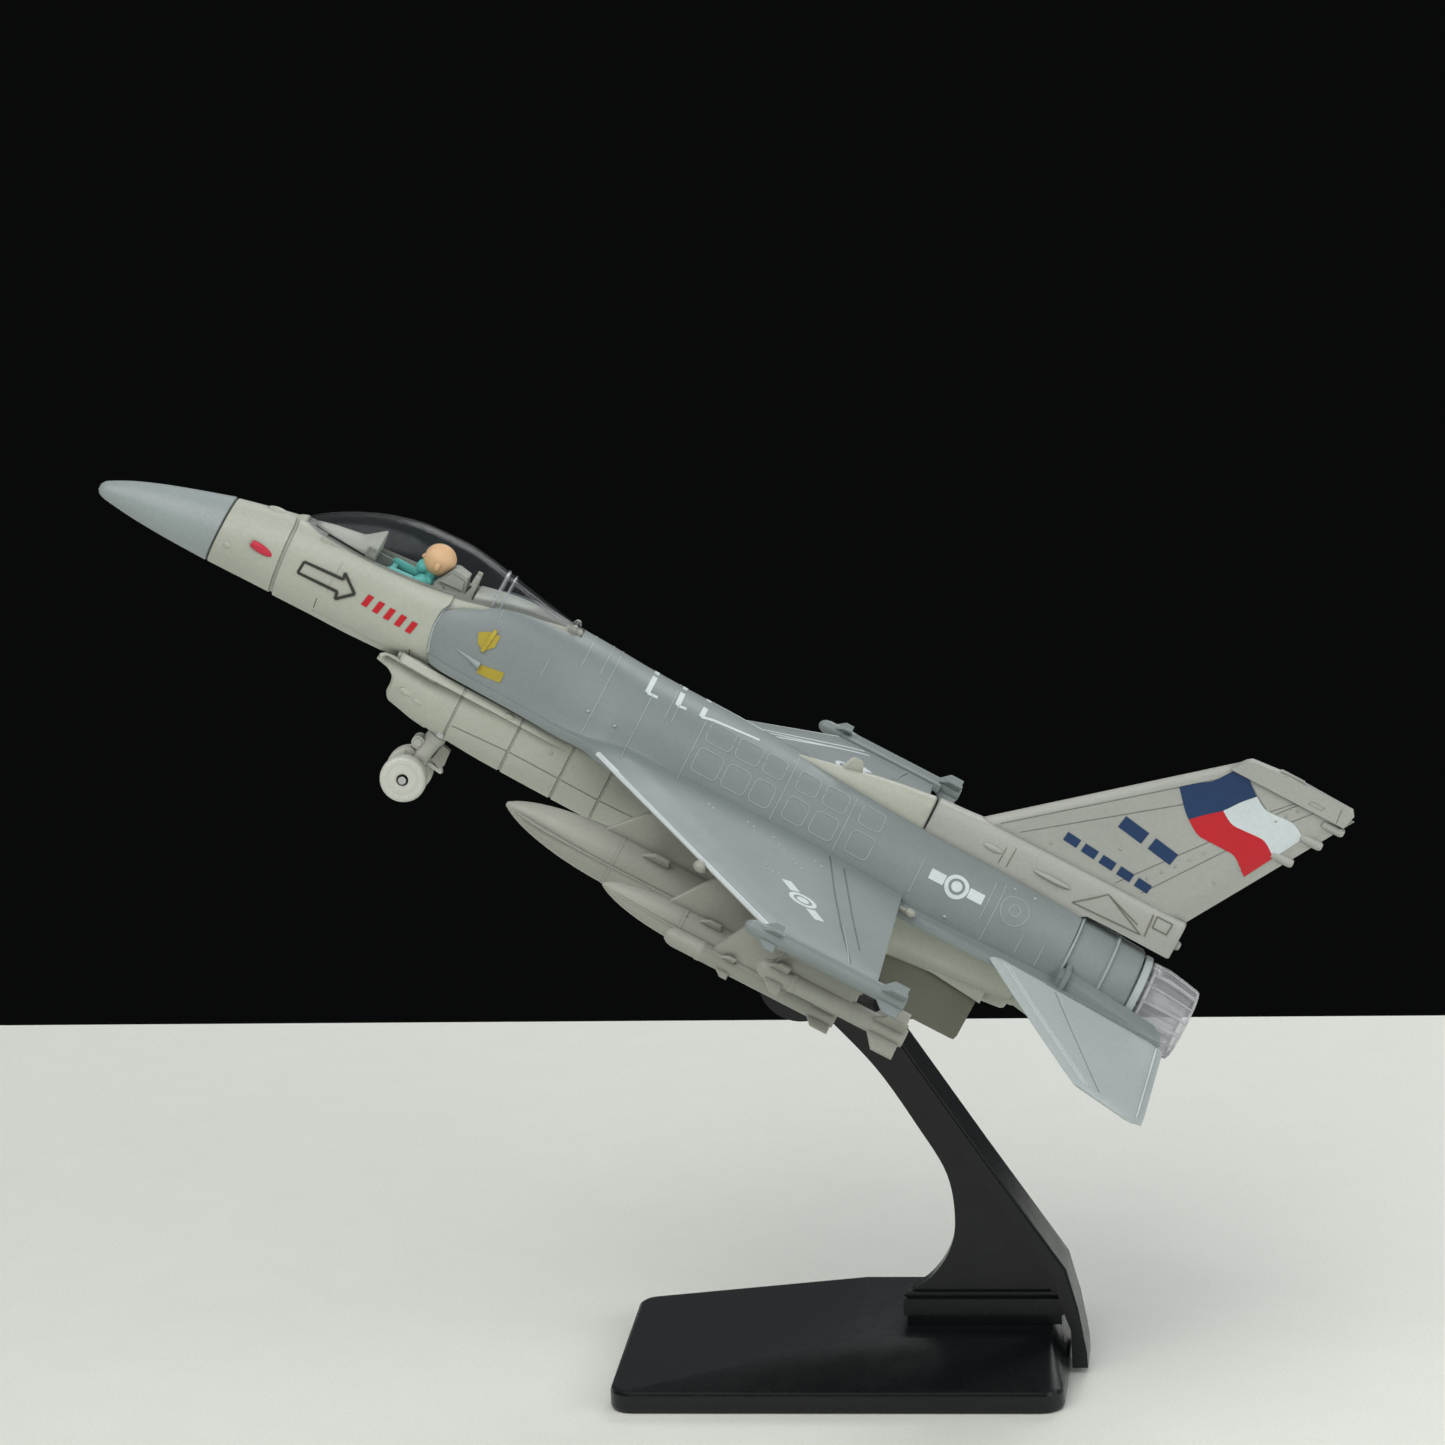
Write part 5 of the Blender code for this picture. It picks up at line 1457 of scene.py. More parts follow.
# ---------------------------------------------------------------- cockpit, pilot and canopy
def make_cockpit():
    """The instrument hood in front of the pilot, and the seat with its headrest and forks."""
    hood_rows = straight_table(
        [
            (35.8, 1.6, 8.5), (38.7, 2.8, 9.2), (43.8, 3.9, 10.0), (46.9, 4.4, 12.5), (47.15, 4.3, 12.4),
            (47.3, 4.25, 9.6)
        ]
    )
    rings = [
        half_ring(x, *hood_rows(x), 8.2, 1.7, 31) for x in steps_between(35.8, 46.9, 0.8) + [47.15, 47.3]
    ]
    hood = join(
        loft(rings), box((38.1, -5.25, 6.5), (47.0, 5.25, 7.75)), box((45.6, -4.2, 6.2), (47.2, 4.2, 9.8))
    )
    piece("instrument_hood", hood, KHAKI, stands_for=["instrument_coaming"], crease=34, bevel=0.12)
    shelf = [
        (51.6, 2.2), (51.6, 3.5), (57.6, 3.7), (57.9, 8.9), (59.9, 12.3), (60.6, 12.5), (62.8, 12.1),
        (63.4, 9.4), (64.9, 9.4), (64.9, 2.2)
    ]
    seat = side_plate(shelf, -2.1, 2.1)
    extras = [side_plate([(58.6, 9.6), (60.0, 11.6), (62.4, 11.4), (62.8, 9.8)], -2.5, 2.5)]
    for _, side in SIDES:
        fork = [(63.3, 8.8), (63.7, 13.1), (64.5, 13.1), (64.9, 8.8)]
        arm_rest = [(52.4, 3.0), (52.4, 5.2), (57.6, 5.4), (58.2, 9.0), (59.6, 9.0), (60.4, 3.0)]
        extras += [flank_plate(fork, 1.2, 2.1, side), flank_plate(arm_rest, 1.9, 2.6, side)]
    piece("ejection_seat", join(seat, *extras), KHAKI, stands_for=["pilot_seat"], crease=30, bevel=0.12)


def limb(path, radii):
    """A tapering tube through some points, rounded at both ends."""
    spots = smooth_path(path, 5)
    rings = []
    last = len(spots) - 1
    for i, spot in enumerate(spots):
        ahead = (spots[min(i + 1, last)] - spots[max(i - 1, 0)]).normalized()
        turn = Vector((0, 0, 1)).rotation_difference(ahead).to_matrix()
        share = i / last
        radius = radii[0] + (radii[1] - radii[0]) * share
        radius *= min(1.0, 0.45 + 4 * share) * min(1.0, 0.5 + 4 * (1 - share))
        rings.append([spot + turn @ Vector((radius * a, radius * b, 0)) for a, b in circle(16)])
    return loft(rings)


def make_pilot():
    """A plain moulded figure: torso with collar, arms on the controls, and a simple head."""
    torso = ball((56.2, 0, 6.1), (2.3, 2.9, 2.4), 32, 20)
    extras = [ball((56.4, 0, 8.0), (1.7, 2.6, 1.4), 28, 16), ball((55.2, 0, 9.9), (1.35, 1.5, 1.5), 28, 16)]
    extras.append(rod((56.6, 0, 9.3), (0, 0, 1), 1.3, 1.4, 28))
    for _, side in SIDES:
        upper = [(56.4, side * 2.4, 8.7), (55.6, side * 2.8, 8.0), (54.8, side * 2.8, 7.5)]
        extras.append(limb(upper, (1.15, 0.95)))
        elbow, hand = Vector((55.3, side * 2.7, 7.6)), Vector((50.3, side * 2.3, 7.45 + side * 0.3))
        extras.append(rod((elbow + hand) / 2, hand - elbow, 0.8, (hand - elbow).length, 28))
        extras.append(rod(hand, hand - elbow, 0.6, 0.9, 28))
        extras.append(ball(elbow, (0.95, 0.9, 0.9), 20, 12))
        leg = [(56.0, side * 1.4, 4.6), (53.4, side * 1.5, 4.6), (50.6, side * 1.5, 4.4)]
        extras.append(limb(leg, (1.3, 1.0)))
    extras.append(box((50.2, -1.9, 7.2), (51.0, 1.9, 7.8)))
    piece("figure_body", join(torso, *extras), TEAL, stands_for=["pilot_body"], crease=40)
    centre = Vector((56.9, 0, 12.1))
    head = ball(centre, (2.6, 2.45, 2.75), 48, 32)
    shapes = [
        ball(centre + Vector((0.15, 0, 0.45)), (2.75, 2.55, 2.45), 40, 26),
        ball(centre + Vector((-2.5, 0, -0.45)), (0.4, 0.35, 0.45), 16, 12),
        ball(centre + Vector((-1.6, 0, -2.1)), (0.95, 1.0, 0.7), 20, 14),
    ]
    for _, side in SIDES:
        shapes.append(ball(centre + Vector((0.3, side * 2.42, -0.6)), (0.5, 0.28, 0.75), 18, 12))
        shapes.append(ball(centre + Vector((-1.95, side * 0.95, 0.1)), (0.55, 0.7, 0.22), 16, 10))
    head = join(head, *shapes)
    holes = [
        ball(centre + Vector((-2.5, side * 0.95, -0.4)), (0.32, 0.42, 0.28), 16, 10) for _, side in SIDES
    ]
    holes.append(ball(centre + Vector((-2.5, 0, -1.4)), (0.35, 0.7, 0.1), 16, 10))
    piece("figure_head", cut(head, *holes), PEACH, stands_for=["pilot_head"], crease=50)


CANOPY = smooth_table([
    (34.3, 1.5, 8.8), (35.6, 2.7, 9.8), (37.4, 3.8, 11.0), (41.0, 4.9, 13.0), (46.5, 5.7, 15.3),
    (53.0, 6.05, 16.75),
    (60.0, 6.1, 17.0), (66.5, 5.6, 16.15), (72.8, 4.5, 14.8), (78.0, 2.9, 13.8), (81.2, 1.8, 13.3),
])
CANOPY_WALL = 0.5


def canopy_arch(x, shrink=0.0):
    half, top = CANOPY(x)
    base = min(sill_height(x, half) + 0.05, top - 0.5)
    return half_ring(x, half - shrink, top - shrink, base, 2.15, 41)


def make_canopy():
    """The blown clear canopy: a thin shell with a double rib and the hinge barrel."""
    stations = steps_between(34.3, 37.0, 0.45) + steps_between(38.0, 81.2, 1.0)
    rings = []
    for x in stations:
        inner = list(reversed(canopy_arch(x, CANOPY_WALL)))
        rings.append(canopy_arch(x) + inner)
    shape = loft(rings)
    barrel = [rod(CANOPY_HINGE, (0, 1, 0), 0.62, 2.6, 32), box((80.2, -1.0, 12.4), (82.6, 1.0, 13.1))]
    canopy = cut(join(shape, *barrel), rod(CANOPY_HINGE, (0, 1, 0), 0.44, 7.0, 20))
    trims = []
    for x, width in ((68.5, 0.55), (69.9, 0.4)):
        arch = canopy_arch(x)
        outs = [(point - Vector((x, 0, 6))).normalized() for point in arch]
        trims.append(bead(arch, outs, width, 0.24, 0.1))
    piece("canopy_ribs", together(trims), CANOPY_EDGE, "canopy", crease=50)
    piece("canopy_shell", canopy, SMOKY, "canopy", ["canopy"], crease=38)


# ---------------------------------------------------------------- landing gear
def wheel_profile(radius, half, bore):
    """A moulded wheel: a plain face with a stepped hub hole and a well rounded tread."""
    return [
        (bore, half - 0.5), (bore + 0.08, half - 0.12), (bore + 0.22, half - 0.02), (bore + 0.4, half),
        (radius * 0.62, half),
        (radius * 0.66, half - 0.06), (radius * 0.7, half), (radius * 0.86, half - 0.02),
        (radius * 0.93, half - 0.12),
        (radius * 0.975, half - 0.34), (radius, half - 0.75), (radius * 1.004, 0.0), (radius, 0.75 - half),
        (radius * 0.975, 0.34 - half), (radius * 0.93, 0.12 - half), (radius * 0.86, -half), (bore, -half),
    ]


def make_nose_gear():
    """The stout folding leg with lamps and scissor link, its door bracket, and twin wheels."""
    axis = NOSE_HINGE - NOSE_AXLE
    down = -axis.normalized()
    leg = rod(NOSE_HINGE + down * 5.2, axis, 1.6, 10.0, 40)
    extras = [
        rod(NOSE_HINGE, (0, 1, 0), 1.5, 3.6, 32), rod(NOSE_AXLE, (0, 1, 0), 1.5, 3.0, 32),
        rod(NOSE_HINGE + down * 3.1, axis, 1.75, 1.2, 40), rod(NOSE_HINGE + down * 8.4, axis, 1.7, 0.7, 40),
    ]
    for drop, radius in ((5.0, 1.15), (7.4, 0.95)):
        lamp = NOSE_HINGE + down * drop + Vector((-1.9, 0, 0))
        extras.append(rod(lamp, (0, 1, 0), radius, 2.6, 32))
        extras.append(rod(lamp, (0, 1, 0), radius * 0.6, 3.0, 28))
        extras.append(box(lamp + Vector((0, -0.8, -0.6)), lamp + Vector((1.9, 0.8, 0.6))))
    link = [
        Vector(corner)
        for corner in ((71.0, 0, -17.0), (73.3, 0, -20.9), (70.3, 0, -20.5), (71.0, 0, -17.0))
    ]
    for start, end in zip(link, link[1:]):
        extras.append(rod((start + end) / 2, end - start, 0.42, (end - start).length + 0.5, 20))
    extras.append(box((67.0, -1.2, -21.6), (68.6, 1.2, -19.8)))
    leg = join(leg, *extras)
    leg = cut(leg, rod(NOSE_HINGE, (0, 1, 0), 0.75, 8.0, 24), rod(NOSE_AXLE, (0, 1, 0), 0.85, 8.0, 24))
    piece("nose_leg", leg, GEAR, "nose_gear", ["nose_gear_leg"], crease=34)
    for name, side in SIDES:
        wheel = turned(
            wheel_profile(NOSE_WHEEL_RADIUS, 1.55, 0.95), NOSE_AXLE + Vector((0, side * 3.5, 0)),
            (0, side, 0), 56
        )
        piece("nose_tyre_" + name, wheel, GEAR, "nose_wheels", ["nose_wheel_" + name], crease=34)


def make_main_wheels():
    for name, side in SIDES:
        middle = Vector((MAIN_AXLE.x, side * 8.4, MAIN_AXLE.z))
        wheel = turned(wheel_profile(MAIN_WHEEL_RADIUS, 1.25, 0.85), middle, (0, side, 0), 48)
        piece("main_tyre_" + name, wheel, GEAR, "main_wheel_" + name, ["main_wheel_" + name], crease=34)


# ---------------------------------------------------------------- stores
def tank_profile(length, radius):
    """Radius and height of a body with a pointed round nose, a long middle and a tapering tail."""
    nose, tail = 0.32, 0.3
    profile = [(0.0, length / 2), (radius * 0.09, length / 2 - 0.12)]
    for i in range(1, 17):
        t = i / 16
        profile.append((radius * (1 - (1 - t) ** 2) ** 0.66, length / 2 - nose * length * t))
    profile.append((radius, 0.0))
    for i in range(0, 17):
        t = i / 16
        profile.append((radius * (1 - 0.72 * t**1.6), -length / 2 + tail * length * (1 - t)))
    profile.append((0.0, -length / 2))
    return profile


def fin_plate(corners, thickness, turn, middle):
    """A thin swept fin of (along, out) corners, thinner at its rim, turned round a body's axis."""
    outline = [Vector((along, 0, out)) for along, out in corners]
    centre = sum(outline, Vector()) / len(outline)
    rings = []
    for offset, scale in ((-0.5, 0.93), (-0.28, 1.0), (0.28, 1.0), (0.5, 0.93)):
        rings.append([centre + (p - centre) * scale + Vector((0, offset * thickness, 0)) for p in outline])
    shape = loft(rings)
    bmesh.ops.rotate(shape, matrix=Matrix.Rotation(radians(turn), 3, "X"), verts=shape.verts)
    bmesh.ops.translate(shape, vec=middle, verts=shape.verts)
    return shape


def four_fins(corners, thickness, turn, middle):
    return [fin_plate(corners, thickness, turn + 90 * k, middle) for k in range(4)]


def make_tank(name, body, length, radius, middle, pylon, half, small_fins):
    """A drop tank on its pylon, with a moulding seam along both sides, end joints and strakes."""
    tank = lathe(tank_profile(length, radius), middle, (-1, 0, 0), 48)
    front = middle[0] - length / 2
    seam = [
        (front + 0.8, 0.35), (front + 4, radius * 0.56), (front + 9, radius * 0.84),
        (front + 0.3 * length, radius * 1.0)
    ]
    seam += [
        (front + 0.7 * length, radius), (front + 0.85 * length, radius * 0.8),
        (front + length - 0.6, radius * 0.34)
    ]
    seam_at = smooth_table(seam)
    path = steps_between(front + 0.8, front + length - 0.7, 1.5)
    extras = []
    for side in (-1, 1):
        points = [Vector((x, middle[1] + side * (seam_at(x)[0] - 0.1), middle[2])) for x in path]
        extras.append(bead(points, [Vector((0, side, 0))] * len(points), 0.5, 0.34, 0.6))
    plate = []
    for offset, shrink in ((-half, 0.25), (-half + 0.25, 0.0), (half - 0.25, 0.0), (half, 0.25)):
        centre = sum((Vector(p) for p in pylon), Vector((0, 0))) / len(pylon)
        points = [Vector(p) + (centre - Vector(p)).normalized() * shrink for p in pylon]
        plate.append([Vector((p.x, middle[1] + offset, p.y)) for p in points])
    extras.append(loft(plate))
    extras += small_fins
    for share in (0.3, 0.62):
        extras.append(
            turned(
                [
                    (radius + 0.07, 0.25), (radius + 0.07, -0.25), (radius - 0.4, -0.25),
                    (radius - 0.4, 0.25)
                ],
                (front + share * length, middle[1], middle[2]), (1, 0, 0), 48
            )
        )
    # The stores are in the darker khaki: painted shade from the wing.
    piece(name, join(tank, *extras), SHADED_KHAKI, stands_for=[body], crease=34)


def missile_profile(length, radius):
    half = length / 2
    profile = [
        (0.0, half), (radius * 0.34, half - 0.12), (radius * 0.62, half - 0.42),
        (radius * 0.86, half - 1.0), (radius, half - 1.9)
    ]
    profile += [
        (radius, half - 6.0), (radius * 1.06, half - 6.15), (radius * 1.06, half - 6.9),
        (radius, half - 7.05)
    ]
    return profile + [
        (radius, 0.5 - half), (radius * 0.86, -half), (radius * 0.5, -half), (radius * 0.45, 0.7 - half),
        (0.0, 0.7 - half)
    ]


def make_stores():
    """Two drop tanks and two missiles under each wing, and the rail at its tip."""
    for name, side in SIDES:
        y = side * INNER_TANK_Y
        pylon = [(101.5, INNER_TANK_Z + 3), (108.4, -1.9), (146.0, -1.9), (140.0, INNER_TANK_Z + 3)]
        strakes = [
            fin_plate([(104, 0), (112, 6.2), (114.4, 6.2), (116, 0)], 0.7, turn, (0, y, INNER_TANK_Z))
            for turn in (35, -35)
        ]
        strakes += four_fins(
            [(144.0, 0), (148.4, 4.6), (152.6, 4.6), (152.6, 0)], 0.7, 45, (0, y, INNER_TANK_Z)
        )
        make_tank(
            "inner_drop_tank_" + name, "inner_tank_" + name, 67.0, 4.5, (119.5, y, INNER_TANK_Z), pylon,
            0.9, strakes
        )
        y = side * OUTER_TANK_Y
        pylon = [(116.5, OUTER_TANK_Z + 2), (122.4, -1.9), (148.0, -1.9), (144.0, OUTER_TANK_Z + 2)]
        strakes = [
            fin_plate([(119, 0), (124.5, 4.4), (126.4, 4.4), (128, 0)], 0.6, turn, (0, y, OUTER_TANK_Z))
            for turn in (35, -35)
        ]
        make_tank(
            "outer_drop_tank_" + name, "outer_tank_" + name, 48.0, 3.1, (130.0, y, OUTER_TANK_Z), pylon,
            0.8, strakes
        )

        y = side * WING_MISSILE_Y
        missile = lathe(missile_profile(31.0, 1.6), (134.0, y, WING_MISSILE_Z), (-1, 0, 0), 40)
        launcher = [(126.5, WING_MISSILE_Z + 1), (131.2, -1.6), (148.8, -1.6), (146.0, WING_MISSILE_Z + 1)]
        fins = four_fins(
            [(143.6, 0), (146.2, 3.0), (149.2, 3.0), (149.2, 0)], 0.6, 45, (0, y, WING_MISSILE_Z)
        )
        fins += four_fins(
            [(126.6, 0), (129.6, 2.6), (130.8, 2.6), (130.8, 0)], 0.55, 45, (0, y, WING_MISSILE_Z)
        )
        missile = join(missile, side_plate(launcher, y - 0.7, y + 0.7), *fins)
        piece("wing_dart_" + name, missile, SHADED_KHAKI, stands_for=["wing_missile_" + name], crease=34)

        y = side * TIP_MISSILE_Y
        missile = lathe(missile_profile(26.5, 1.7), (147.0, y, TIP_MISSILE_Z), (-1, 0, 0), 40)
        launcher = [(136.0, TIP_MISSILE_Z + 1), (138.0, -1.2), (151.0, -1.2), (150.0, TIP_MISSILE_Z + 1)]
        fins = four_fins(
            [(134.0, 0), (137.4, 3.6), (138.9, 3.6), (138.9, 0)], 0.6, 45, (0, y, TIP_MISSILE_Z)
        )
        fins += four_fins(
            [(153.0, 0), (156.0, 4.4), (159.7, 4.4), (159.7, 0)], 0.6, 45, (0, y, TIP_MISSILE_Z)
        )
        missile = join(missile, side_plate(launcher, y - 0.7, y + 0.7), *fins)
        piece("tip_dart_" + name, missile, SHADED_KHAKI, stands_for=["tip_missile_" + name], crease=34)

        y = side * RAIL_Y
        rail = lathe(missile_profile(28.5, 1.3), (143.0, y, 0), (-1, 0, 0), 40)
        fins = four_fins([(130.0, 0), (133.2, 2.6), (134.8, 2.6), (134.8, 0)], 0.55, 45, (0, y, 0))
        fins += four_fins([(151.4, 0), (154.4, 3.0), (157.0, 3.0), (157.0, 0)], 0.55, 45, (0, y, 0))
        rail = join(rail, flank_box((133.4, HALF_SPAN + 0.15, -0.7), (153.4, RAIL_Y, 0.7), side), *fins)
        piece("tip_rail_" + name, rail, GREY, stands_for=["wingtip_rail_" + name], crease=34)


# ---------------------------------------------------------------- markings
def disc(spot, middle, radii, inner=0.02, thickness=0.05):
    """A flat ring or dot laid on a two-parameter surface."""
    steps = 48
    rings = []
    for i in range(steps):
        angle = 2 * pi * i / steps
        ring = []
        for share in (1.0, inner):
            a = middle[0] + radii[0] * share * cos(angle)
            b = middle[1] + radii[1] * share * sin(angle)
            out = normal_of(spot, a, b)
            pair = [spot(a, b) - out * 0.12, spot(a, b) + out * thickness]
            ring += pair if share == 1.0 else list(reversed(pair))
        rings.append(ring)
    return loft(rings, closed=True)


def sheet(spot, corner_rows, thickness=0.05):
    """An inked sheet on a surface: rows of places, each with the same count."""
    grid = [[spot(*place) for place in row] for row in corner_rows]
    outs = [[normal_of(spot, *place) for place in row] for row in corner_rows]
    return patch(grid, outs, thickness)


def strip(spot, start, end, width, count=8, thickness=0.05):
    """A straight inked bar between two places on a surface, with its width across."""
    start, end = Vector(start), Vector(end)
    across = Vector((start.y - end.y, end.x - start.x)).normalized() * width / 2
    low = [start.lerp(end, i / count) - across for i in range(count + 1)]
    high = [start.lerp(end, i / count) + across for i in range(count + 1)]
    return sheet(spot, [low, high], thickness)


def dome_side(side):
    """The dome as a surface of x and distance round it from the crown in millimetres."""
    def spot(x, arc):
        return dome_spot(x, arc * TURNS_PER_MM, side)
    return spot


def make_roundels():
    """Plain ring-and-dot roundels on the wings and the rear fuselage."""
    shapes = []
    for _, side in SIDES:
        middle = Vector((136.2, side * 43.0))
        along = Vector((0.556, side * 0.831))
        for inner, radius in ((0.68, 2.5), (0.02, 1.1)):
            shapes.append(disc(wing_spot, middle, (radius, radius), inner))
            shapes.append(disc(dome_side(side), (159.5, 10.3), (radius * 0.86, radius * 0.86), inner, 0.06))
        for start, end in ((-6.6, -3.0), (3.0, 6.6)):
            shapes.append(strip(wing_spot, middle + along * start, middle + along * end, 1.9))
            shapes.append(
                strip(
                    dome_side(side), (159.5 + start * 0.76, 10.3), (159.5 + end * 0.76, 10.3), 1.9, 8, 0.06
                )
            )
    piece("plain_roundels", together(shapes), WHITE_INK, crease=50)


def make_white_marks():
    """White walkway corners on the back, and white lines on the starboard wing that are painted highlights
    on its panel lines.
    """
    shapes = []
    for _, side in SIDES:
        spot = dome_side(side)
        marks = [
            [(98.4, 0.4), (98.4, 5.7), (100.3, 5.5)], [(103.8, 0.6), (103.9, 4.8), (105.5, 4.4)],
            [(108.4, 1.3), (108.3, 4.3), (110.5, 3.5), (118.9, 2.0)],
        ]
        for mark in marks:
            for k, (start, end) in enumerate(zip(mark, mark[1:])):
                shapes.append(strip(spot, start, end, 0.6 if k else 0.9, 8, 0.06))
        # Painted highlights: white strips along the starboard wing's panel lines, on that side only.
        for start, end in (
            ((115.9, 36.2), (138.2, 60.4)), ((116.5, 34.9), (139.2, 58.8)), ((119.2, 35.2), (132.6, 51.8))
        ):
            if side > 0:
                shapes.append(strip(wing_spot, start, end, 0.55, 20))
    piece("white_walkway_marks_and_wing_highlights", together(shapes), WHITE_INK, crease=50)


def make_gun_marks():
    """The gold port and panel on each side behind the cockpit, and a raised gun fairing whose pale grey is a
    painted highlight.
    """
    gold, pale = [], []
    for _, side in SIDES:
        spot = on_side(side_spot, side)
        gold.append(
            sheet(
                spot, [[(71.2, 1.9), (71.4, 0.4)], [(73.4, 2.3), (73.4, 0.5)], [(75.6, 2.6), (75.7, 0.8)]],
                0.14
            )
        )
        gold.append(
            sheet(
                spot, [[(68.6, 6.5), (69.3, 4.9)], [(70.1, 7.4), (70.7, 4.1)], [(72.2, 7.6), (72.2, 5.6)]],
                0.14
            )
        )
        gold.append(strip(spot, (71.1, 8.1), (70.6, 4.0), 0.7, 8, 0.3))
        # The raised gun fairing is pale grey: a painted highlight.
        cone = [spot(x, z) for x, z in ((66.6, 2.3), (69.0, 2.0), (71.3, 1.6))]
        rings = []
        for point, radius in zip(cone, (0.1, 0.35, 0.7)):
            rings.append([point + Vector((0, radius * a, radius * b)) for a, b in circle(20)])
        pale.append(loft(rings))
    piece("gold_panels", together(gold), GOLD_INK, crease=40)
    piece("gun_fairings", together(pale), GREY_LIGHT, crease=40)


def make_nose_marks():
    """A plain arrow outline and slanted red stripes on each side of the nose."""
    arrows, stripes = [], []
    for _, side in SIDES:
        spot = on_side(nose_spot, side)
        outline = [
            (37.1, 3.0), (44.3, 3.5), (44.1, 4.6), (47.1, 2.2), (44.5, -0.2), (44.3, 1.1), (36.9, 0.8),
            (37.1, 3.0)
        ]
        for start, end in zip(outline, outline[1:]):
            arrows.append(strip(spot, start, end, 0.46, 8, 0.16))
        for k in range(5):
            x = 48.8 + 2.15 * k
            low, high = 1.1 - 0.12 * k, 3.3 - 0.12 * k
            rows = [
                [
                    (x + 0.45 * share, low + (high - low) * share),
                    (x + 1.05 + 0.45 * share, low + (high - low) * share)
                ]
                for share in (0, 0.33, 0.67, 1)
            ]
            stripes.append(sheet(spot, rows, 0.06))
    piece("nose_arrows", together(arrows), DARK_INK, crease=50)
    piece("nose_stripes", together(stripes), RED_INK, crease=50)


def make_tail_marks():
    """A waving three-colour flash and plain bars on each side of the fin."""
    top = smooth_table(
        [
            (0.0, 185.1, 36.4), (0.25, 187.4, 38.4), (0.5, 189.6, 40.0), (0.75, 191.4, 42.6),
            (1.0, 193.3, 44.6)
        ]
    )
    right = smooth_table(
        [
            (0.0, 193.3, 44.6), (0.3, 197.3, 41.1), (0.5, 200.2, 39.7), (0.75, 204.3, 39.9),
            (1.0, 207.6, 38.4)
        ]
    )
    left = smooth_table(
        [
            (0.0, 185.1, 36.4), (0.3, 189.1, 32.2), (0.5, 192.6, 30.4), (0.78, 198.0, 30.4),
            (1.0, 202.0, 27.7)
        ]
    )
    navy, white, red, bars = [], [], [], []
    for _, side in SIDES:
        def flash(u, v, side=side):
            start, end = Vector(left(v)), Vector(right(v))
            place = start.lerp(end, u)
            bow = Vector(top(u)) - Vector(left(0.0)).lerp(Vector(right(0.0)), u)
            place += bow * (1 - v)
            return fin_spot(place.x, place.y, side)
        out = Vector((0, side, 0))
        for shapes, u0, u1, v0, v1 in (
            (navy, 0.0, 1.0, 0.0, 0.3), (red, 0.0, 0.5, 0.3, 1.0), (white, 0.5, 1.0, 0.3, 1.0)
        ):
            grid = [
                [flash(u0 + (u1 - u0) * i / 12, v0 + (v1 - v0) * j / 16) for i in range(13)]
                for j in range(17)
            ]
            shapes.append(patch(grid, [[out] * 13 for _ in range(17)], 0.07, 0.1))
        face = on_side(fin_spot, side)
        for start, end in (((179.4, 26.6), (184.2, 25.8)), ((185.6, 25.6), (190.2, 24.8))):
            bars.append(strip(face, start, end, 2.3, 4, 0.06))
        for k in range(5):
            start = (172.2 + 3.55 * k, 19.9 - 0.36 * k)
            bars.append(strip(face, start, (start[0] + 2.6, start[1] - 0.26), 1.6, 3, 0.06))
    piece("tail_flash_navy", together(navy), NAVY_INK, crease=50)
    piece("tail_flash_white", together(white), WHITE_INK, crease=50)
    piece("tail_flash_red", together(red), RED_INK, crease=50)
    piece("tail_bars", together(bars), NAVY_INK, crease=50)


# ---------------------------------------------------------------- carried-over CAD pieces
def finish_cad_nodes():
    """Procedural finishes for the small CAD pieces that keep their shape."""
    finishes = {
        "stand_pivot_pin": STEEL, "stand_plug": BLACK, "shell_screw_front": STEEL,
        "shell_screw_rear": STEEL,
        "intake_splitter": KHAKI, "cockpit_tub": KHAKI, "canopy_pin": STEEL, "nose_gear_door": SHADED_KHAKI,
        "nose_gear_pin": STEEL, "nose_axle": STEEL,
    }
    for name, _ in SIDES:
        finishes["main_gear_leg_" + name] = SHADED_KHAKI
        finishes["main_gear_pin_" + name] = STEEL
        finishes["main_axle_" + name] = STEEL
    for name, material in finishes.items():
        node = bpy.data.objects[name]
        for slot in node.material_slots:
            slot.link = "OBJECT"
            slot.material = material


# ---------------------------------------------------------------- floor, light and camera
def make_floor():
    """A plain pale table top whose far edge ends behind the object."""
    shape = bmesh.new()
    half_width, front, back, drop = 1.6, -1.8, 0.205, 0.02
    bmesh.ops.create_cube(shape, size=1.0)
    bmesh.ops.scale(shape, vec=(2 * half_width, back - front, drop), verts=shape.verts)
    bmesh.ops.translate(shape, vec=(0, (back + front) / 2, -drop / 2), verts=shape.verts)
    mesh = bpy.data.meshes.new("table_top")
    shape.to_mesh(mesh)
    shape.free()
    mesh.materials.append(moulded("table_paint", linear(234, 237, 229), 0.5, 0.05, 0.01, 1.0))
    top = bpy.data.objects.new("table_top", mesh)
    bpy.context.scene.collection.objects.link(top)


def add_light(name, place, aim, size, power, colour=(1.0, 1.0, 1.0)):
    light = bpy.data.lights.new(name, "AREA")
    light.shape = "DISK"
    light.size = size
    light.energy = power
    light.color = colour
    lamp = bpy.data.objects.new(name, light)
    lamp.location = place
    lamp.rotation_euler = (Vector(aim) - Vector(place)).to_track_quat("-Z", "Y").to_euler()
    bpy.context.scene.collection.objects.link(lamp)


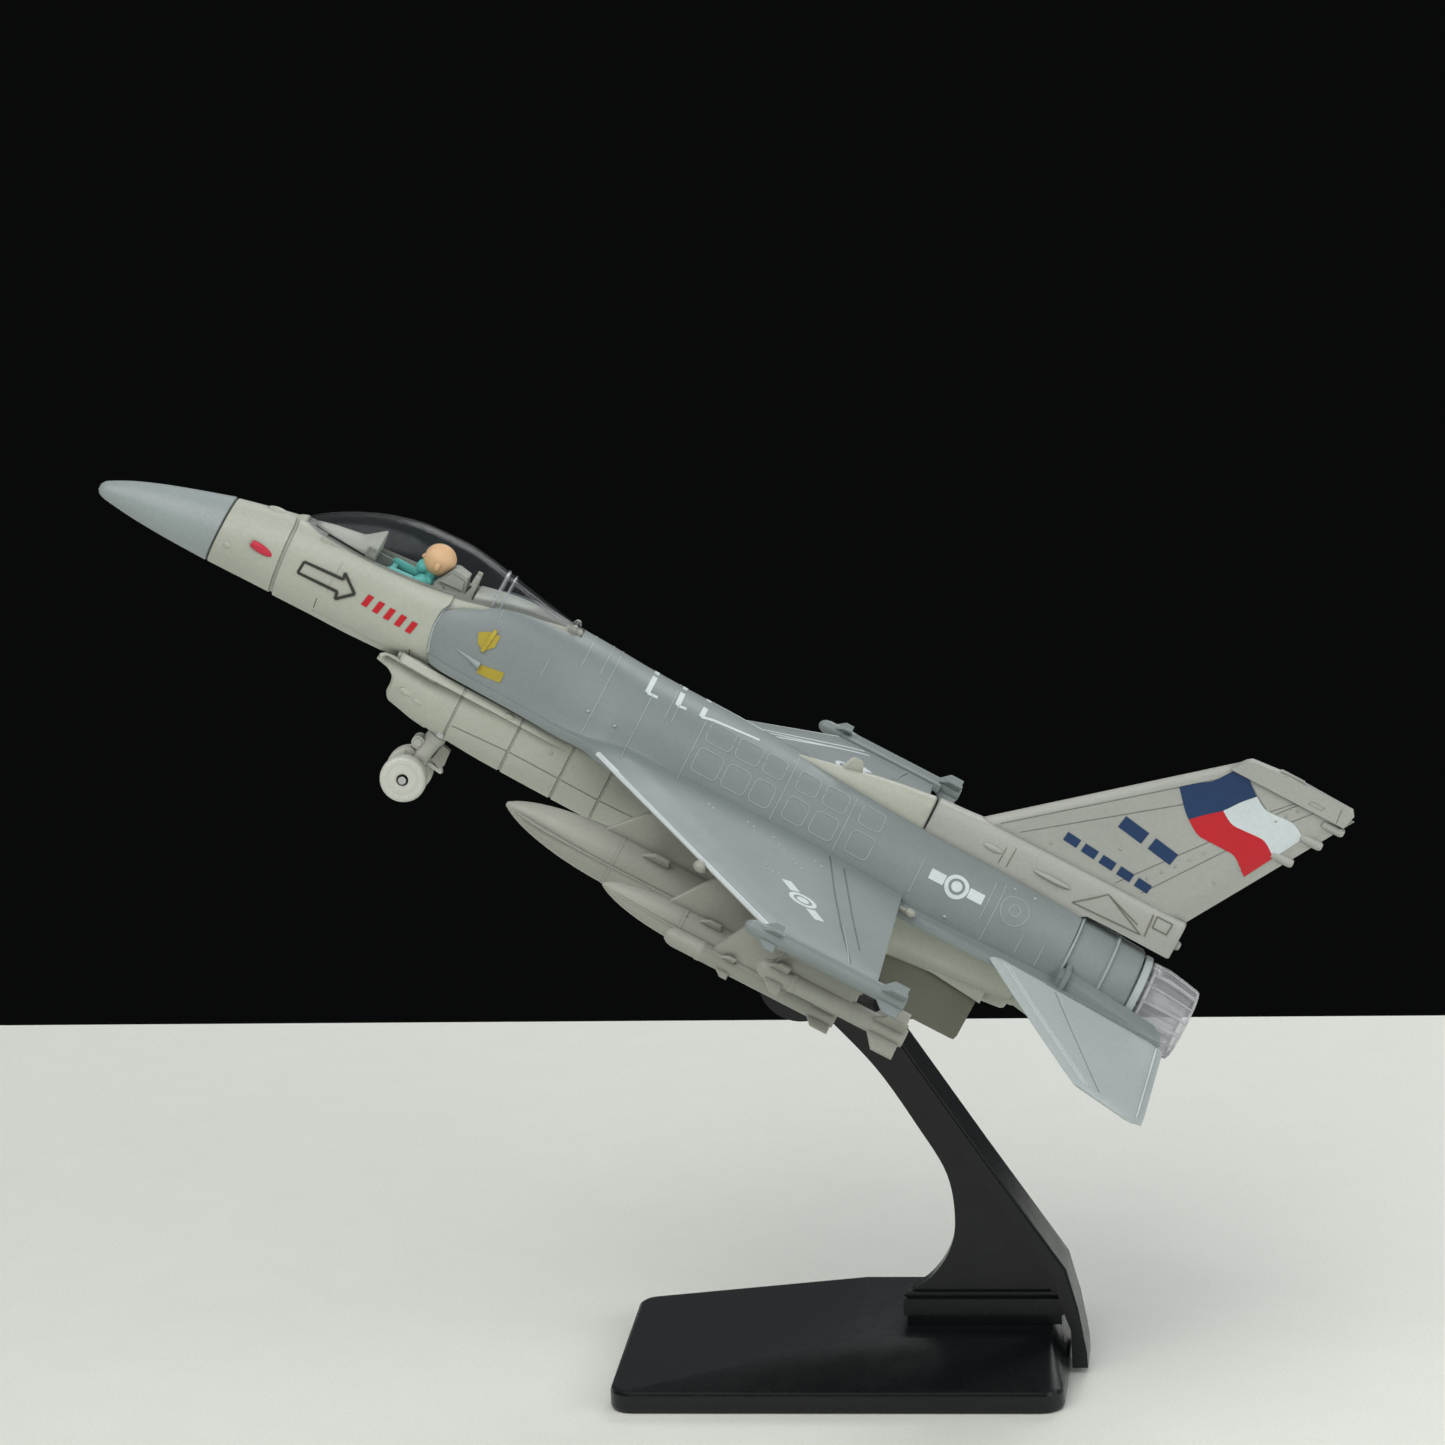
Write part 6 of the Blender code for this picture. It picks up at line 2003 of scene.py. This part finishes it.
def make_lights():
    """A large soft key from the upper left, a weaker fill, and a dim even surround."""
    middle = (0.0, 0.0, 0.09)
    add_light("key", (-0.40, -0.92, 1.36), middle, 1.9, 20.0, (1.0, 0.99, 0.965))
    add_light("fill", (1.1, -0.9, 0.7), middle, 0.8, 4.0, (0.97, 0.99, 1.0))
    add_light("edge", (1.5, -0.25, 0.66), middle, 0.6, 4.0)
    add_light("rim", (0.3, 1.0, 0.9), middle, 0.7, 4.0)
    world = bpy.data.worlds.new("surround")
    world.use_nodes = True
    tree = world.node_tree
    shade = tree.nodes["Background"]
    dark = tree.nodes.new("ShaderNodeBackground")
    dark.inputs["Color"].default_value = (0.0028, 0.0031, 0.0030, 1.0)
    shade.inputs["Color"].default_value = (0.92, 0.96, 1.0, 1.0)
    place = tree.nodes.new("ShaderNodeTexCoord")
    height = tree.nodes.new("ShaderNodeSeparateXYZ")
    sky = tree.nodes.new("ShaderNodeMapRange")
    tree.links.new(place.outputs["Generated"], height.inputs[0])
    tree.links.new(height.outputs["Z"], sky.inputs["Value"])
    for key, value in (("From Min", 0.0), ("From Max", 1.0), ("To Min", 0.05), ("To Max", 0.34)):
        sky.inputs[key].default_value = value
    tree.links.new(sky.outputs["Result"], shade.inputs["Strength"])
    ray = tree.nodes.new("ShaderNodeLightPath")
    choose = tree.nodes.new("ShaderNodeMixShader")
    tree.links.new(ray.outputs["Is Camera Ray"], choose.inputs[0])
    tree.links.new(shade.outputs[0], choose.inputs[1])
    tree.links.new(dark.outputs[0], choose.inputs[2])
    tree.links.new(choose.outputs[0], tree.nodes["World Output"].inputs["Surface"])
    bpy.context.scene.world = world


def make_camera():
    lens = bpy.data.cameras.new("camera")
    lens.lens = 141.85
    lens.sensor_width = 36.0
    lens.sensor_fit = "HORIZONTAL"
    lens.clip_start = 0.01
    camera = bpy.data.objects.new("camera", lens)
    camera.location = (0.09125, -0.92895, 0.34577)
    camera.rotation_euler = (radians(76.136), radians(2.268), radians(6.104))
    bpy.context.scene.collection.objects.link(camera)
    bpy.context.scene.camera = camera


def main():
    make_base()
    make_arm()
    make_upper_shell()
    make_panel_lines()
    make_leading_edges()
    make_rivets()
    make_radome()
    make_nose_body()
    make_lower_shell()
    make_intake()
    make_rear_deck()
    make_spine()
    make_fin()
    make_fin_details()
    make_tailplanes()
    make_keels()
    make_nozzle()
    make_cockpit()
    make_pilot()
    make_canopy()
    make_nose_gear()
    make_main_wheels()
    make_stores()
    make_roundels()
    make_white_marks()
    make_gun_marks()
    make_nose_marks()
    make_tail_marks()
    finish_cad_nodes()
    make_floor()
    make_lights()
    make_camera()
    bpy.context.scene.view_settings.view_transform = "Standard"


main()
